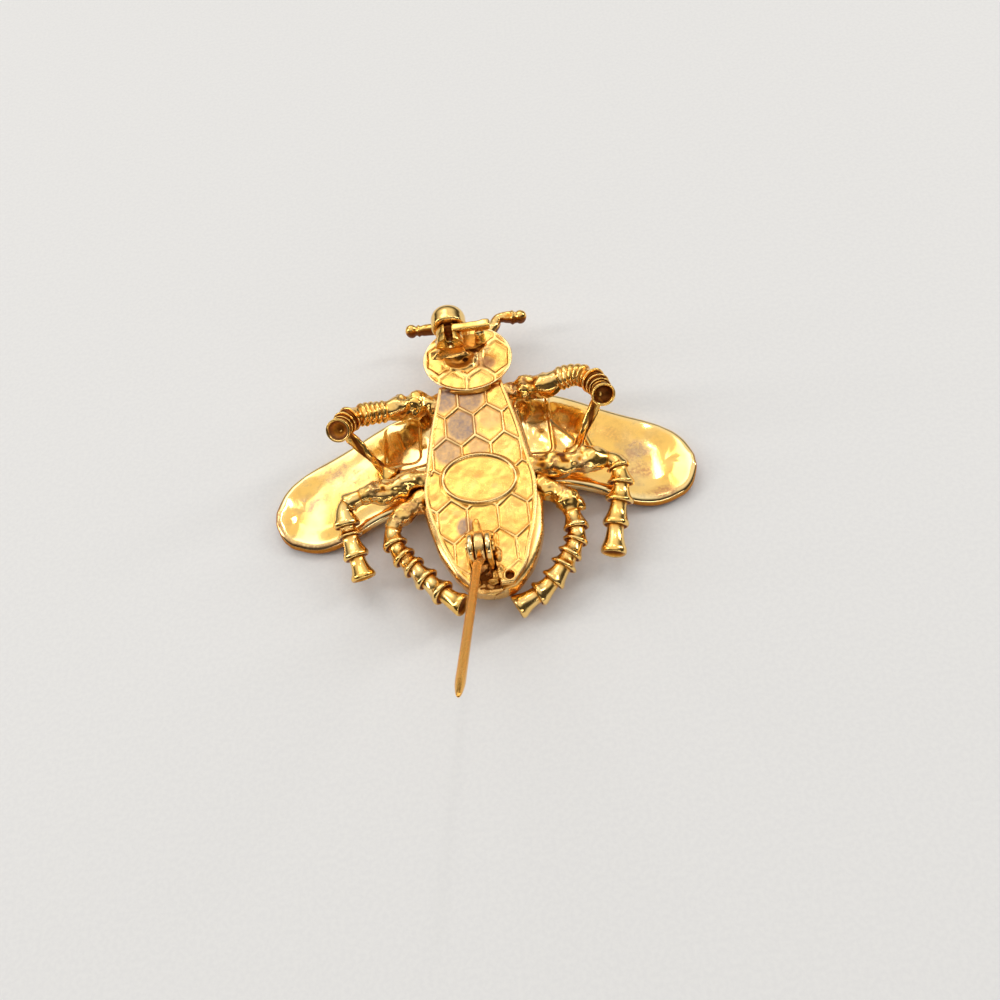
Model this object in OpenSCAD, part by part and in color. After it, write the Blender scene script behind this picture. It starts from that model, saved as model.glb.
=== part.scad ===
// Bee brooch lying face down with its pin swung open.
// +Z up from the table, +Y towards the head, +X to the right.
// The origin lies on the table, under the middle of the whole piece.

/* [Body] */
// Length of the back plate from its front edge to its tail points
plate_len = 28.2; // [26:0.1:30]
// Widest part of the back plate
plate_w = 13.6; // [13:0.1:15]
// Height of the back plate's face above the table
plate_top = 7; // [6.6:0.1:7.6]
// Thickness of the back plate
plate_t = 0.8; // [0.6:0.05:1]
// How far the shell stands out around the plate
shell_lip = 0.6; // [0.4:0.05:0.8]
// Wall of the hollow shell
wall = 1; // [0.7:0.05:1.2]
// Radius of the vent hole in the tail of the plate
vent_r = 0.5; // [0.3:0.05:0.7]

/* [Honeycomb] */
// Distance between neighbouring cells across the body
cell_pitch = 3.65; // [3.2:0.05:4.2]
// How much longer a cell is than a regular hexagon
cell_stretch = 1.4; // [1.2:0.05:1.5]
// Width of the raised ridges
ridge_w = 0.45; // [0.3:0.05:0.6]
// How far the cells are sunk below the ridges
cell_depth = 0.25; // [0.15:0.05:0.35]

/* [Oval cartouche] */
// Width of the oval over its rim
oval_w = 9.4; // [8.4:0.1:10]
// Height of the oval over its rim
oval_h = 7.1; // [6:0.1:7.6]
// Width of the oval's rim
oval_rim = 0.45; // [0.3:0.05:0.6]
// How far the rim stands above the plate
oval_rise = 0.3; // [0.15:0.05:0.4]
// Turn of the oval on the plate
oval_turn = -6; // [-10:1:0]

/* [Head] */
// Width of the head disc
head_w = 11.7; // [11:0.1:12.4]
// Length of the head disc
head_len = 10.2; // [9.6:0.1:10.8]
// How far the head disc stands above the plate
head_rise = 0.6; // [0.4:0.05:0.8]
// How far the head disc laps over the front edge of the plate
head_lap = 1.5; // [1.2:0.1:1.8]
// Radius of the solder pit in the head disc
pit_r = 1.5; // [1:0.1:1.8]
// Depth of the solder pit
pit_depth = 0.35; // [0.2:0.05:0.4]
// Turn of the head disc against the wings
head_turn = -5; // [-10:1:0]

/* [Wings] */
// Distance from the middle of the body to the tip of the right wing
wing_reach = 27.2; // [26:0.1:29]
// The same for the left wing
wing_reach_left = 26.8; // [26:0.1:29]
// Chord of a wing along the body, in shares of the plate's length
wing_share = 0.532; // [0.5:0.002:0.54]
// Thickness of a wing at its rim
wing_t = 1.7; // [1.4:0.1:2]
// How far the back of a wing is dished inside its rim
wing_dish = 0.45; // [0.3:0.05:0.6]
// Width of the rim round the dish
wing_rim = 1; // [0.8:0.1:1.3]
// Height of a wing's underside at the body
wing_root_z = 2.4; // [2:0.1:2.8]
// Shift of both wings along the body
wing_y = 0.2; // [-0.2:0.1:0.4]
// How far the right wing sits ahead of the left one
wing_skew = 0.8; // [0:0.1:1]

/* [Legs] */
// Outward reach of a front leg from its root
front_reach = 11.2; // [10.8:0.1:11.6]
// Outward reach of a middle leg from its root
middle_reach = 9.6; // [9.2:0.1:10]
// Length of a rear leg along the body, in shares of the plate's length
rear_share = 0.5035; // [0.49:0.0005:0.52]
// Outward bow of the rear legs, in shares of the plate's width
rear_bow = 1.044; // [1.02:0.002:1.08]
// Radius of a leg at the waist of a segment
leg_thin = 1.0; // [0.9:0.02:1.1]
// Radius of a leg at the flared end of a segment
leg_wide = 1.54; // [1.44:0.02:1.6]
// Radius of the strut that ties a front leg to its wing
strut_r = 0.6; // [0.5:0.05:0.7]
// Radius of the open cup at the end of a front leg
cup_r = 1.5; // [1.4:0.05:1.6]
// Depth of the open cup
cup_depth = 1.2; // [0.8:0.1:1.4]
// Wall of the cup at its mouth
cup_wall = 0.35; // [0.25:0.05:0.45]

/* [Antennae] */
// Radius of an antenna rod
antenna_r = 0.6; // [0.5:0.05:0.7]
// Radius of the ball at its end
antenna_ball_r = 0.85; // [0.7:0.05:1]
// Distance from the middle to an antenna ball
antenna_reach = 7.6; // [7:0.1:8.2]
// How far the balls lie ahead of the front edge of the head
antenna_ahead = 3.3; // [3:0.1:3.6]

/* [Pin] */
// Length of the pin from its hinge to its point
pin_len = 31; // [30.9:0.02:31.1]
// Diameter of the pin wire
pin_d = 0.95; // [0.8:0.05:1.05]
// Length of the wire's root outside its eye, where it thickens into the eye
pin_root = 2; // [1.5:0.1:3]
// Length of the ground point
pin_point = 2.4; // [1.8:0.1:4]
// How far the pin is swung open from the catch
pin_open = 138; // [90:1:150]
// Height of the pin above the plate when it is closed
pin_rise = 2.8; // [2.7:0.05:3]
// Sideways place of the hinge
hinge_x = -0.5; // [-0.7:0.05:-0.3]
// Distance from the tail points of the plate to the hinge
hinge_from_tail = 3.6; // [3.4:0.1:3.8]
// Depth of the tail notch below the plate
notch_depth = 1; // [0.8:0.1:1.2]
// Radius of the pin's eye
eye_r = 1.75; // [1.5:0.05:1.9]
// Width of the pin's eye
eye_w = 1.05; // [0.95:0.05:1.15]
// Gap on each side of the eye, to the bracket's ears
eye_gap = 0.13; // [0.11:0.01:0.16]
// Radius of the bracket's two ears
ear_r = 1.6; // [1.4:0.05:1.8]
// Thickness of an ear
ear_t = 0.7; // [0.5:0.05:0.8]
// Radius of the hinge rivet
rivet_r = 0.4; // [0.3:0.05:0.5]
// Thickness of the rivet's two heads
rivet_head_t = 0.25; // [0.2:0.05:0.4]

/* [Catch] */
// Sideways place of the catch
catch_x = -1.9; // [-2.1:0.05:-1.7]
// Radius of the catch's front ring
ring_r = 1.85; // [1.8:0.05:2]
// Thickness of the front ring along the pin
ring_t = 1.15; // [1:0.05:1.3]
// Radius of the roller
roller_r = 1.75; // [1.7:0.05:1.75]
// Width of the roller along the pin
roller_w = 1.25; // [1.1:0.05:1.35]
// Radius of the roller's hubs
hub_r = 1; // [0.9:0.05:1.15]
// How deep a hub sits in its hole
hub_in = 0.5; // [0.4:0.05:0.6]
// Radius of the rear dome
dome_r = 2.1; // [1.9:0.05:2.1]
// Gap between the roller and the rear dome, where the hub shows
dome_gap = 0.4; // [0.3:0.05:0.5]
// Thickness of the catch's base plate
base_t = 0.35; // [0.25:0.05:0.35]
// Length of the lever from the roller's axis
lever_len = 5.4; // [4.6:0.1:6]
// Thickness of the lever
lever_t = 0.9; // [0.7:0.05:1]

/* [Fits] */
// Gap left where two soldered or cast pieces meet
joint_gap = 0.12; // [0.08:0.01:0.15]
// Radial clearance of a part that turns
run_gap = 0.05; // [0.03:0.01:0.08]
// Clearance on each side of the pin in the catch's slot
slot_gap = 0.13; // [0.1:0.01:0.2]

/* [Hidden] */
gold = "gold";
eps = 0.01;

// Places along the body, from a datum in the middle of the plate
tail_y = -plate_len * 0.4965;
front_y = tail_y + plate_len;
head_y = front_y - head_lap + head_len / 2;
head_top = plate_top + head_rise;
head_front = head_y + head_len / 2;
hinge_y = tail_y + hinge_from_tail;
pin_z = plate_top + pin_rise;
wing_chord = plate_len * wing_share;
pin_skew = asin((catch_x - hinge_x) / pin_len);
catch_front = hinge_y + pin_len * cos(pin_skew) - roller_w - ring_t;
ring_back = catch_front + ring_t;
roller_front = ring_back + run_gap * 2;
roller_back = roller_front + roller_w;
dome_front = roller_back + dome_gap;
antenna_y = head_front + antenna_ahead;
// Slot in which the pin lies down between the lips of the front ring and the roller
slot_w = pin_d + 2 * slot_gap;
// Moves the working datum to the middle of the whole piece
pin_tip_y = hinge_y + pin_len * cos(pin_skew) * cos(pin_open);
middle_y = (antenna_y + antenna_ball_r + pin_tip_y) / 2;

// Plan of the plate: share of its length from the tail, share of its half width, lean to the right
PLAN = [[0, 0.36, 0.06], [0.03, 0.46, 0.06], [0.06, 0.56, 0.057], [0.1, 0.645, 0.055], [0.15, 0.715, 0.04],
    [0.2, 0.79, 0.03], [0.28, 0.885, 0.026], [0.36, 0.965, 0.01], [0.43, 1, 0], [0.48, 1, 0],
    [0.56, 0.945, 0], [0.66, 0.88, 0], [0.76, 0.815, 0], [0.87, 0.72, 0], [1, 0.6, 0]];

// Shell: share of the plate's length from the tail, share of the half width, share of the depth, lean
SHELL = [[-0.014, 0.18, 0.3, 0.055], [0, 0.34, 0.45, 0.055], [0.02, 0.44, 0.56, 0.055],
    [0.05, 0.54, 0.68, 0.06], [0.08, 0.63, 0.75, 0.06], [0.12, 0.72, 0.84, 0.06], [0.2, 0.85, 0.913, 0.05],
    [0.28, 0.925, 0.967, 0.04], [0.36, 0.975, 1, 0.015], [0.43, 1, 1, 0], [0.46, 1, 0.97, 0],
    [0.56, 0.95, 0.85, 0], [0.66, 0.89, 0.82, 0], [0.76, 0.83, 0.93, 0], [0.87, 0.743, 1, 0],
    [1, 0.63, 0.95, 0], [1.01, 0.5, 0.75, 0]];
// How far the shell is sunk into the plate that closes it
weld = plate_t / 16;
// Level of the shell's widest line
shell_mid = plate_top * 0.62;
// How square the shell's section is above and below that line: 1 is an ellipse, 0 a box
square_up = 0.5;
square_down = 0.85;

function mix(a, b, t) = a + (b - a) * t;
function last(list) = list[len(list) - 1];
function unit(v) = v / norm(v);

// Value in a column of a table, at a share of the length
function share(table, column, s, i = 1) = i == len(table) - 1 || s <= table[i][0]
    ? mix(table[i - 1][column], table[i][column], (s - table[i - 1][0]) / (table[i][0] - table[i - 1][0]))
    : share(table, column, s, i + 1);
// Place of the shell's side at a place along the body and a level: legs and wings are soldered on there
function side_x(y, z) =
    let (s = min(last(SHELL)[0], max(SHELL[0][0], (y - tail_y) / plate_len)),
         e = z > shell_mid ? square_up : square_down,
         reach = z > shell_mid ? plate_top - plate_t - shell_mid : shell_mid * share(SHELL, 2, s))
    (plate_w / 2 + shell_lip) * share(SHELL, 1, s)
        * pow(max(0, 1 - pow(min(1, abs(z - shell_mid) / reach), 2 / e)), e / 2) + joint_gap;

// Smooth curve through the points, with n steps from each to the next
function curve_point(a, b, c, d, t) = 0.5 * (2 * b + (c - a) * t
    + (2 * a - 5 * b + 4 * c - d) * t * t + (3 * b - a - 3 * c + d) * t * t * t);
function curve(p, n) = concat([for (i = [0:len(p) - 2], k = [0:n - 1])
    curve_point(p[max(i - 1, 0)], p[i], p[i + 1], p[min(i + 2, len(p) - 1)], k / n)], [last(p)]);

// Lengths along a path, and the point at a given length
function lengths(p, i = 0, sum = 0) = i == len(p) - 1 ? [sum]
    : concat([sum], lengths(p, i + 1, sum + norm(p[i + 1] - p[i])));
function at_length(p, l, s, i = 1) = i == len(p) - 1 || s <= l[i]
    ? mix(p[i - 1], p[i], (s - l[i - 1]) / (l[i] - l[i - 1])) : at_length(p, l, s, i + 1);

// Skin over rings of as many points each, anticlockwise as seen along the way from first to last
module skin(rings) {
    n = len(rings[0]);
    m = len(rings);
    points = [for (ring = rings, p = ring) p];
    sides = [for (i = [0:m - 2], j = [0:n - 1], half = [0, 1])
        let (a = i * n + j, b = i * n + (j + 1) % n, c = b + n, d = a + n)
        half == 0 ? [a, b, c] : [a, c, d]];
    ends = [[for (j = [n - 1:-1:0]) j], [for (j = [0:n - 1]) (m - 1) * n + j]];
    polyhedron(points, concat(sides, ends), convexity = 6);
}

// Round bar along a path: each row of the profile is [length along the path, radius]
module bar(path, profile, sides = 10) {
    l = lengths(path);
    step = last(l) / 400;
    skin([for (row = profile)
        let (s = min(max(row[0], 0), last(l)),
             ahead = at_length(path, l, min(s + step, last(l))),
             behind = at_length(path, l, max(s - step, 0)),
             t = unit(ahead - behind),
             across = unit(cross(t, [0, 0, 1])),
             up = cross(across, t),
             c = at_length(path, l, s))
        [for (k = [0:sides - 1]) c + row[1] * (cos(360 * k / sides) * across + sin(360 * k / sides) * up)]]);
}

// Trumpet segments one after another, each flaring towards the foot
function trumpets(from, to, count, thin, wide) = [for (i = [0:count - 1], row = [[0, 0], [0.45, 0.18],
    [0.78, 0.62], [0.9, 1], [0.97, 0.94]])
    [mix(from, to, (i + row[0]) / count), mix(thin, wide, row[1])]];

// Body: hollow shell, closed by the back plate with its raised honeycomb

// Cross-section of the shell at a row of its table, drawn in by a wall
function shell_ring(row, inset) =
    let (y = mix(tail_y + inset, front_y - inset, row[0]),
         half = (plate_w / 2 + shell_lip) * row[1] - inset,
         lean = (plate_w / 2 + shell_lip) * row[3],
         up = plate_top - plate_t - shell_mid + (inset > 0 ? eps : weld),
         down = shell_mid * row[2] - inset)
    [for (k = [0:23]) let (a = 360 * k / 24, c = cos(a), s = sin(a), e = s > 0 ? square_up : square_down)
        [lean + half * sign(c) * pow(abs(c), e), y,
            shell_mid + (s > 0 ? up : down) * sign(s) * pow(abs(s), e)]];

module shell_solid(inset) {
    skin([for (row = SHELL) shell_ring(row, inset)]);
}

module plate_outline(inset) {
    edge = [for (side = [1, -1]) [for (row = PLAN)
        [plate_w / 2 * row[2] + side * (plate_w / 2 * row[1] - inset),
            mix(tail_y + inset, front_y - inset, row[0])]]];
    polygon(concat(edge[0], [for (i = [len(PLAN) - 1:-1:0]) edge[1][i]]));
}

module cell(inset) {
    r = cell_pitch / sqrt(3);
    polygon([for (k = [0:5]) let (a = 60 * k + 30)
        (1 - 2 * inset / cell_pitch) * r * [cos(a), sin(a) * cell_stretch]]);
}

// Sunk cells around a centre, inside an outline given as a child
module cells(columns, rows, top) {
    row_pitch = cell_pitch * sqrt(3) / 2 * cell_stretch;
    translate([0, 0, top - cell_depth])
        linear_extrude(cell_depth * 2)
            intersection() {
                children();
                for (j = [-rows:rows], i = [-columns:columns])
                    translate([(i + (abs(j) % 2) / 2) * cell_pitch, j * row_pitch])
                        cell(ridge_w / 2);
            }
}

module oval(inset, h) {
    linear_extrude(h)
        polygon([for (k = [0:39]) [(oval_w / 2 - inset) * cos(9 * k), (oval_h / 2 - inset) * sin(9 * k)]]);
}

// Notch in the tail, which opens the shell round the hinge bracket
module tail_notch() {
    half = bracket_half() + joint_gap;
    ahead = hinge_y + ear_r + joint_gap * 2;
    translate([0, 0, plate_top - plate_t - notch_depth])
        linear_extrude(plate_t + notch_depth * 2)
            polygon([[hinge_x - half, ahead], [hinge_x + half, ahead],
                [hinge_x + half, hinge_y - ear_r], [plate_w * 0.13, tail_y - 2 * shell_lip],
                [-plate_w * 0.13, tail_y - 2 * shell_lip], [hinge_x - half, hinge_y - ear_r]]);
}

function bracket_half() = eye_w / 2 + eye_gap + ear_t;

module body() {
    oval_y = tail_y + plate_len * 0.4965;
    color(gold)
        difference() {
            union() {
                shell_solid(0);
                translate([0, 0, plate_top - plate_t])
                    linear_extrude(plate_t)
                        plate_outline(0);
                translate([0, oval_y, plate_top - eps])
                    rotate(oval_turn)
                        oval(0, oval_rise + eps);
            }
            difference() {
                shell_solid(wall);
                translate([0, 0, plate_top - plate_t])
                    linear_extrude(plate_t)
                        square(4 * plate_w, center = true);
            }
            difference() {
                translate([cell_pitch / -2, tail_y + plate_len * 0.775, 0])
                    cells(4, 6, plate_top)
                        translate([cell_pitch / 2, -tail_y - plate_len * 0.775])
                            plate_outline(ridge_w);
                translate([0, oval_y, 0])
                    rotate(oval_turn)
                        oval(-ridge_w / 2, plate_top * 2);
            }
            translate([0, oval_y, plate_top])
                rotate(oval_turn)
                    oval(oval_rim, oval_rise * 2);
            tail_notch();
            translate([plate_w * 0.18, tail_y + vent_r * 1.8, plate_top - plate_t * 2])
                cylinder(r = vent_r, h = plate_t * 3, $fn = 24);
        }
}

// Head: a bulb under an oval disc that laps over the front edge of the plate

// Level in shares of the disc's height, size in shares of the disc, place towards the front in shares
HEAD = [[0.02, 0.3, 0.13], [0.06, 0.48, 0.13], [0.14, 0.6, 0.13], [0.26, 0.69, 0.13], [0.42, 0.74, 0.13],
    [0.62, 0.75, 0.13], [0.86, 0.72, 0.13]];
// Share of the head's height at which the neck under the disc starts
neck_from = 0.84;
// Sides of the head's outline
head_sides = 36;

module head() {
    ring = [for (k = [0:head_sides - 1]) let (a = 360 * k / head_sides)
        [head_w / 2 * cos(a), -head_len / 2 * sin(a)]];
    color(gold)
        translate([0, head_y, 0])
            rotate(head_turn)
                difference() {
                    union() {
                        skin([for (row = HEAD) [for (p = ring)
                            [p[0] * row[1], p[1] * row[1] + row[2] * head_len / 2, row[0] * head_top]]]);
                        translate([0, last(HEAD)[2] * head_len / 2, neck_from * head_top])
                            linear_extrude(plate_top + joint_gap - neck_from * head_top + eps)
                                polygon(0.7 * ring);
                        translate([0, 0, plate_top + joint_gap])
                            linear_extrude(head_rise - joint_gap)
                                polygon(ring);
                    }
                    cells(2, 2, head_top)
                        polygon((1 - 2 * ridge_w / head_len) * ring);
                    translate([catch_x / 2, 0, head_top + pit_r - pit_depth])
                        sphere(r = pit_r, $fn = 32);
                }
}

// Wings

// Share of the reach, front edge and rear edge in shares of the chord, underside in shares of its root height
WING = [[0.24, 0.9, -0.06, 1], [0.36, 0.87, -0.06, 0.8], [0.49, 0.79, -0.11, 0.55], [0.61, 0.69, -0.2, 0.33],
    [0.72, 0.61, -0.27, 0.12], [0.81, 0.545, -0.275, 0], [0.89, 0.455, -0.235, 0.03],
    [0.945, 0.36, -0.185, 0.12], [0.98, 0.245, -0.1, 0.25], [1, 0.115, 0.005, 0.42]];

// Section across a wing: share from the rear edge to the front edge, height in shares of the thickness
function wing_ring(row, first, reach, shift) =
    let (rear = row[2] * wing_chord + shift, front = row[1] * wing_chord + shift, chord = front - rear,
         rim = min(wing_rim / chord, 0.3),
         dish = wing_dish / wing_t * (first ? 0 : min(1, chord / wing_rim / 6)),
         edge = [[0.01, 0.45], [rim * 0.3, 0.88], [rim, 1], [rim * 1.6, 1 - dish * 0.8]],
         section = concat(edge, [for (i = [0:2]) [mix(rim * 1.6, 1 - rim * 1.6, (i + 1) / 4), 1 - dish]],
             [for (i = [3:-1:0]) [1 - edge[i][0], edge[i][1]]], [[0.94, 0.12]],
             [for (i = [4:-1:0]) [0.2 + 0.15 * i, 0]], [[0.06, 0.12]]))
    [for (p = section) let (y = mix(rear, front, p[0]), z = row[3] * wing_root_z + p[1] * wing_t)
        [first ? side_x(y, z) + wing_t * 0.11 : row[0] * reach, y, z]];

// A wing of a given reach, shifted along the body
module wing(reach, shift) {
    skin([for (i = [0:len(WING) - 1]) wing_ring(WING[i], i == 0, reach, shift)]);
}

// Legs, each along its own path from its root at the shell's side
// Points: outward, forward and up from the root, in shares of the leg's reach, which is a number,
// or for the rear legs the reach outward, along and up
FRONT_RIGHT = [[0, 0, 0], [0.28, -0.03, 0.08], [0.43, -0.05, 0.13], [0.55, -0.02, 0.16], [0.72, -0.03, 0.21],
    [0.85, -0.1, 0.25], [0.94, -0.23, 0.31], [0.98, -0.39, 0.39], [0.99, -0.52, 0.47]];
FRONT_LEFT = [[0, 0, 0], [0.15, 0.01, 0.05], [0.33, -0.02, 0.1], [0.48, -0.07, 0.14], [0.61, -0.1, 0.17],
    [0.74, -0.13, 0.21], [0.86, -0.18, 0.27], [0.94, -0.28, 0.33], [0.98, -0.4, 0.41], [0.99, -0.49, 0.5]];
MIDDLE_RIGHT = [[0, 0, 0], [0.26, -0.01, 0.02], [0.55, -0.02, 0.04], [0.85, -0.03, 0.04], [1, -0.09, 0],
    [1.03, -0.3, -0.05], [0.98, -0.54, -0.12], [0.89, -0.84, -0.2], [0.8, -1.22, -0.26]];
MIDDLE_LEFT = [[0, 0, 0], [0.18, -0.01, 0.01], [0.4, -0.07, 0.02], [0.68, -0.11, 0.04], [0.91, -0.17, 0.03],
    [1.02, -0.27, 0], [1.01, -0.43, -0.04], [0.98, -0.6, -0.1], [0.93, -0.82, -0.16], [0.84, -1.14, -0.26]];
REAR_RIGHT = [[0, 0, 0], [0.09, -0.05, 0], [0.17, -0.135, -0.005], [0.195, -0.235, -0.02],
    [0.21, -0.333, -0.03], [0.216, -0.424, -0.04], [0.194, -0.508, -0.055], [0.154, -0.588, -0.065],
    [0.095, -0.667, -0.08], [0.035, -0.745, -0.1], [-0.044, -0.82, -0.13], [-0.13, -0.885, -0.15],
    [-0.24, -0.94, -0.16], [-0.36, -1, -0.17]];
REAR_LEFT = [[0, 0, 0], [0.09, -0.055, 0], [0.196, -0.14, -0.01], [0.245, -0.259, -0.02],
    [0.213, -0.391, -0.03], [0.146, -0.498, -0.04], [0.06, -0.604, -0.045], [-0.045, -0.729, -0.05],
    [-0.146, -0.835, -0.045], [-0.25, -0.933, -0.035], [-0.315, -0.979, -0.025]];
// Root of each leg: share of the plate's length from the tail, level in shares of the plate's
FRONT_ROOT_RIGHT = [0.955, 0.8];
FRONT_ROOT_LEFT = [0.93, 0.8];
MIDDLE_ROOT = [0.545, 0.79];
REAR_ROOT = [0.45, 0.7];
// Reach of a rear leg outward, along and up
REAR_REACH = [plate_w * rear_bow, plate_len * rear_share, plate_top * 2];

function leg_path(table, root, reach) =
    let (y = tail_y + root[0] * plate_len, z = root[1] * plate_top,
         start = [side_x(y, z) + leg_wide * 0.22, y, z])
    curve([for (p = table) start + [for (i = [0:2]) p[i] * (reach[i] == undef ? reach : reach[i])]], 5);

// Lumpy thigh from the root to a share of the length, then trumpet segments
function leg_profile(l, thigh, count, foot_r) = concat(
    [[0, leg_wide * 0.62], [l * thigh * 0.07, leg_wide * 0.84], [l * thigh * 0.2, leg_wide * 1],
     [l * thigh * 0.42, leg_wide * 0.7], [l * thigh * 0.62, leg_wide * 0.86],
     [l * thigh * 0.85, leg_wide * 0.72],
     [l * thigh * 0.985, leg_wide * 0.62]],
    trumpets(l * thigh, l * 0.99, count, leg_thin, leg_wide), [[l, foot_r]]);

module leg(table, root, reach, thigh, count) {
    path = leg_path(table, root, reach);
    bar(path, leg_profile(last(lengths(path)), thigh, count, leg_wide * 0.9));
}

// Front leg: ends in an open cup, with a strut down to a seat on the wing
module front_leg(table, root, seat_share, shift) {
    path = leg_path(table, root, front_reach);
    end = last(path);
    aim = unit(end - path[len(path) - 3]);
    l = last(lengths(path));
    seat = [seat_share[0] * wing_reach, seat_share[1] * wing_chord + shift,
        wing_root_z + seat_share[2] * wing_t];
    cup_back = end - aim * cup_depth * 1.1;
    strut = [[0, strut_r * 1.35], [strut_r * 1.6, strut_r], [norm(end - seat), strut_r]];
    difference() {
        union() {
            bar(path, leg_profile(l, 0.42, 6, cup_r));
            bar([seat, cup_back], strut, 8);
        }
        bar([end - aim * cup_depth, end + aim * cup_depth],
            [[0, leg_thin * 0.75], [cup_depth, cup_r - cup_wall], [cup_depth * 2, cup_r]], 10);
    }
}

// Antennae, each with its own bend
module antenna(bend) {
    root = [head_w * 0.2, head_front - head_len * 0.02, plate_top * 0.6];
    ball = [antenna_reach, antenna_y, plate_top * 0.6];
    knee = [antenna_reach * bend[0], antenna_y + bend[1], plate_top * 0.6];
    path = curve([root, mix(root, knee, 0.6), knee, mix(knee, ball, 0.7), ball], 4);
    l = last(lengths(path));
    bar(path, [for (k = [0:11]) [l * k / 11, antenna_r]], 10);
    translate(ball)
        rotate_extrude($fn = 24)
            polygon(concat([[0, -antenna_ball_r]], [for (a = [-75:15:75]) antenna_ball_r * [cos(a), sin(a)]],
                [[0, antenna_ball_r]]));
}

// Hinge: a bracket under the plate whose two ears stand up through the notch

module hinge_bracket() {
    foot_top = plate_top - plate_t - joint_gap;
    foot_half = bracket_half() * 1.2;
    foot_len = ear_r * 2;
    color(gold)
        difference() {
            union() {
                translate([hinge_x - foot_half, hinge_y, foot_top - ear_t])
                    cube([foot_half * 2, foot_len, ear_t]);
                for (side = [-1, 1])
                    translate([hinge_x + side * (eye_w / 2 + eye_gap + ear_t / 2), hinge_y, 0]) {
                        translate([-ear_t / 2, -ear_r, foot_top - ear_t])
                            cube([ear_t, ear_r * 2, pin_z - foot_top + ear_t]);
                        translate([-ear_t / 2, 0, pin_z])
                            rotate([0, 90, 0])
                                cylinder(r = ear_r, h = ear_t, $fn = 48);
                    }
            }
            translate([hinge_x - foot_half, hinge_y, pin_z])
                rotate([0, 90, 0])
                    cylinder(r = rivet_r + run_gap, h = foot_half * 2, $fn = 32);
        }
}

module hinge_rivet() {
    half = bracket_half() + run_gap;
    head_r = rivet_r * 1.6;
    color(gold)
        translate([hinge_x - half - rivet_head_t, hinge_y, pin_z])
            rotate([0, 90, 0]) {
                cylinder(r = rivet_r, h = 2 * (half + rivet_head_t), $fn = 32);
                cylinder(r = head_r, h = rivet_head_t, $fn = 32);
                translate([0, 0, 2 * half + rivet_head_t])
                    cylinder(r = head_r, h = rivet_head_t, $fn = 32);
            }
}

// Pin: a round eye on the rivet, and a straight wire ground to a point
module pin_stem() {
    shaft = pin_len - pin_point;
    // The point narrows slowly first, then quickly
    slow = 0.6;
    slow_d = pin_d * 0.62;
    tip_d = pin_d * 0.12;
    color(gold)
        translate([hinge_x, hinge_y, pin_z])
            rotate([pin_open, 0, 0])
                difference() {
                    union() {
                        translate([-eye_w / 2, 0, 0])
                            rotate([0, 90, 0])
                                cylinder(r = eye_r, h = eye_w, $fn = 48);
                        rotate([-90, 0, -pin_skew]) {
                            translate([0, 0, eye_r / 2])
                                cylinder(d1 = eye_w, d2 = pin_d, h = eye_r / 2 + pin_root, $fn = 32);
                            cylinder(d = pin_d, h = shaft, $fn = 32);
                            translate([0, 0, shaft])
                                cylinder(d1 = pin_d, d2 = slow_d, h = pin_point * slow, $fn = 32);
                            translate([0, 0, shaft + pin_point * slow])
                                cylinder(d1 = slow_d, d2 = tip_d, h = pin_point * (1 - slow), $fn = 32);
                        }
                    }
                    translate([-eye_w, 0, 0])
                        rotate([0, 90, 0])
                            cylinder(r = rivet_r + run_gap, h = 2 * eye_w, $fn = 32);
                }
}

// Catch: a front ring and a rear dome on one base, with the roller between them

// Round bar along the body, on the axis of the catch
module axle(r, from, to) {
    translate([catch_x, to, pin_z])
        rotate([90, 0, 0])
            cylinder(r = r, h = to - from, $fn = 48);
}

// Open slot that the pin swings down into, from above to the axis
module pin_slot(from, to) {
    translate([catch_x - slot_w / 2, from, pin_z])
        cube([slot_w, to - from, ring_r * 2]);
    axle(slot_w / 2, from, to);
}

module catch_body() {
    base_z = head_top + joint_gap / 4;
    dome_end = dome_front + dome_r * 0.65;
    lug_x = catch_x + lever_len * 0.62;
    lever_z = pin_z + roller_r - lever_t;
    color(gold)
        difference() {
            union() {
                axle(ring_r, catch_front, ring_back);
                axle(dome_r, dome_front, dome_end);
                translate([catch_x, dome_end, pin_z])
                    rotate([-90, 0, 0])
                        rotate_extrude($fn = 48)
                            intersection() {
                                circle(r = dome_r, $fn = 48);
                                square(dome_r * 2);
                            }
                translate([catch_x - ring_r * 0.85, catch_front, base_z])
                    cube([ring_r * 0.85 + lever_len * 0.85, dome_front - catch_front + base_t / 2, base_t]);
                translate([catch_x - ring_r * 0.7, catch_front, base_z])
                    cube([ring_r * 1.4, ring_t, pin_z - base_z - ring_r * 0.5]);
                translate([catch_x - ring_r * 0.7, dome_front, base_z])
                    cube([ring_r * 1.4, head_len * 0.1, pin_z - base_z - ring_r * 0.5]);
                translate([lug_x, roller_front, base_z])
                    cube([lever_len * 0.2, roller_w * 0.8, lever_z - run_gap - base_z]);
            }
            axle(hub_r + run_gap, ring_back - hub_in - run_gap, ring_back + eps);
            axle(hub_r + run_gap, dome_front - eps, dome_front + hub_in + run_gap);
            pin_slot(catch_front - ring_t, ring_back + eps);
        }
}

module catch_roller() {
    color(gold)
        difference() {
            union() {
                axle(roller_r, roller_front, roller_back);
                axle(hub_r, ring_back - hub_in, dome_front + hub_in);
                translate([catch_x, roller_front + run_gap, pin_z + roller_r - lever_t])
                    cube([lever_len - lever_t / 2, roller_w - 2 * run_gap, lever_t]);
                translate([catch_x + lever_len - lever_t / 2, roller_back - run_gap, pin_z + roller_r])
                    translate([0, 0, -lever_t / 2])
                    rotate([90, 0, 0])
                        cylinder(d = lever_t, h = roller_w - 2 * run_gap, $fn = 32);
            }
            pin_slot(catch_front - ring_t, dome_front + roller_w);
        }
}

module placed() {
    translate([0, -middle_y, 0])
        children();
}

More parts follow.
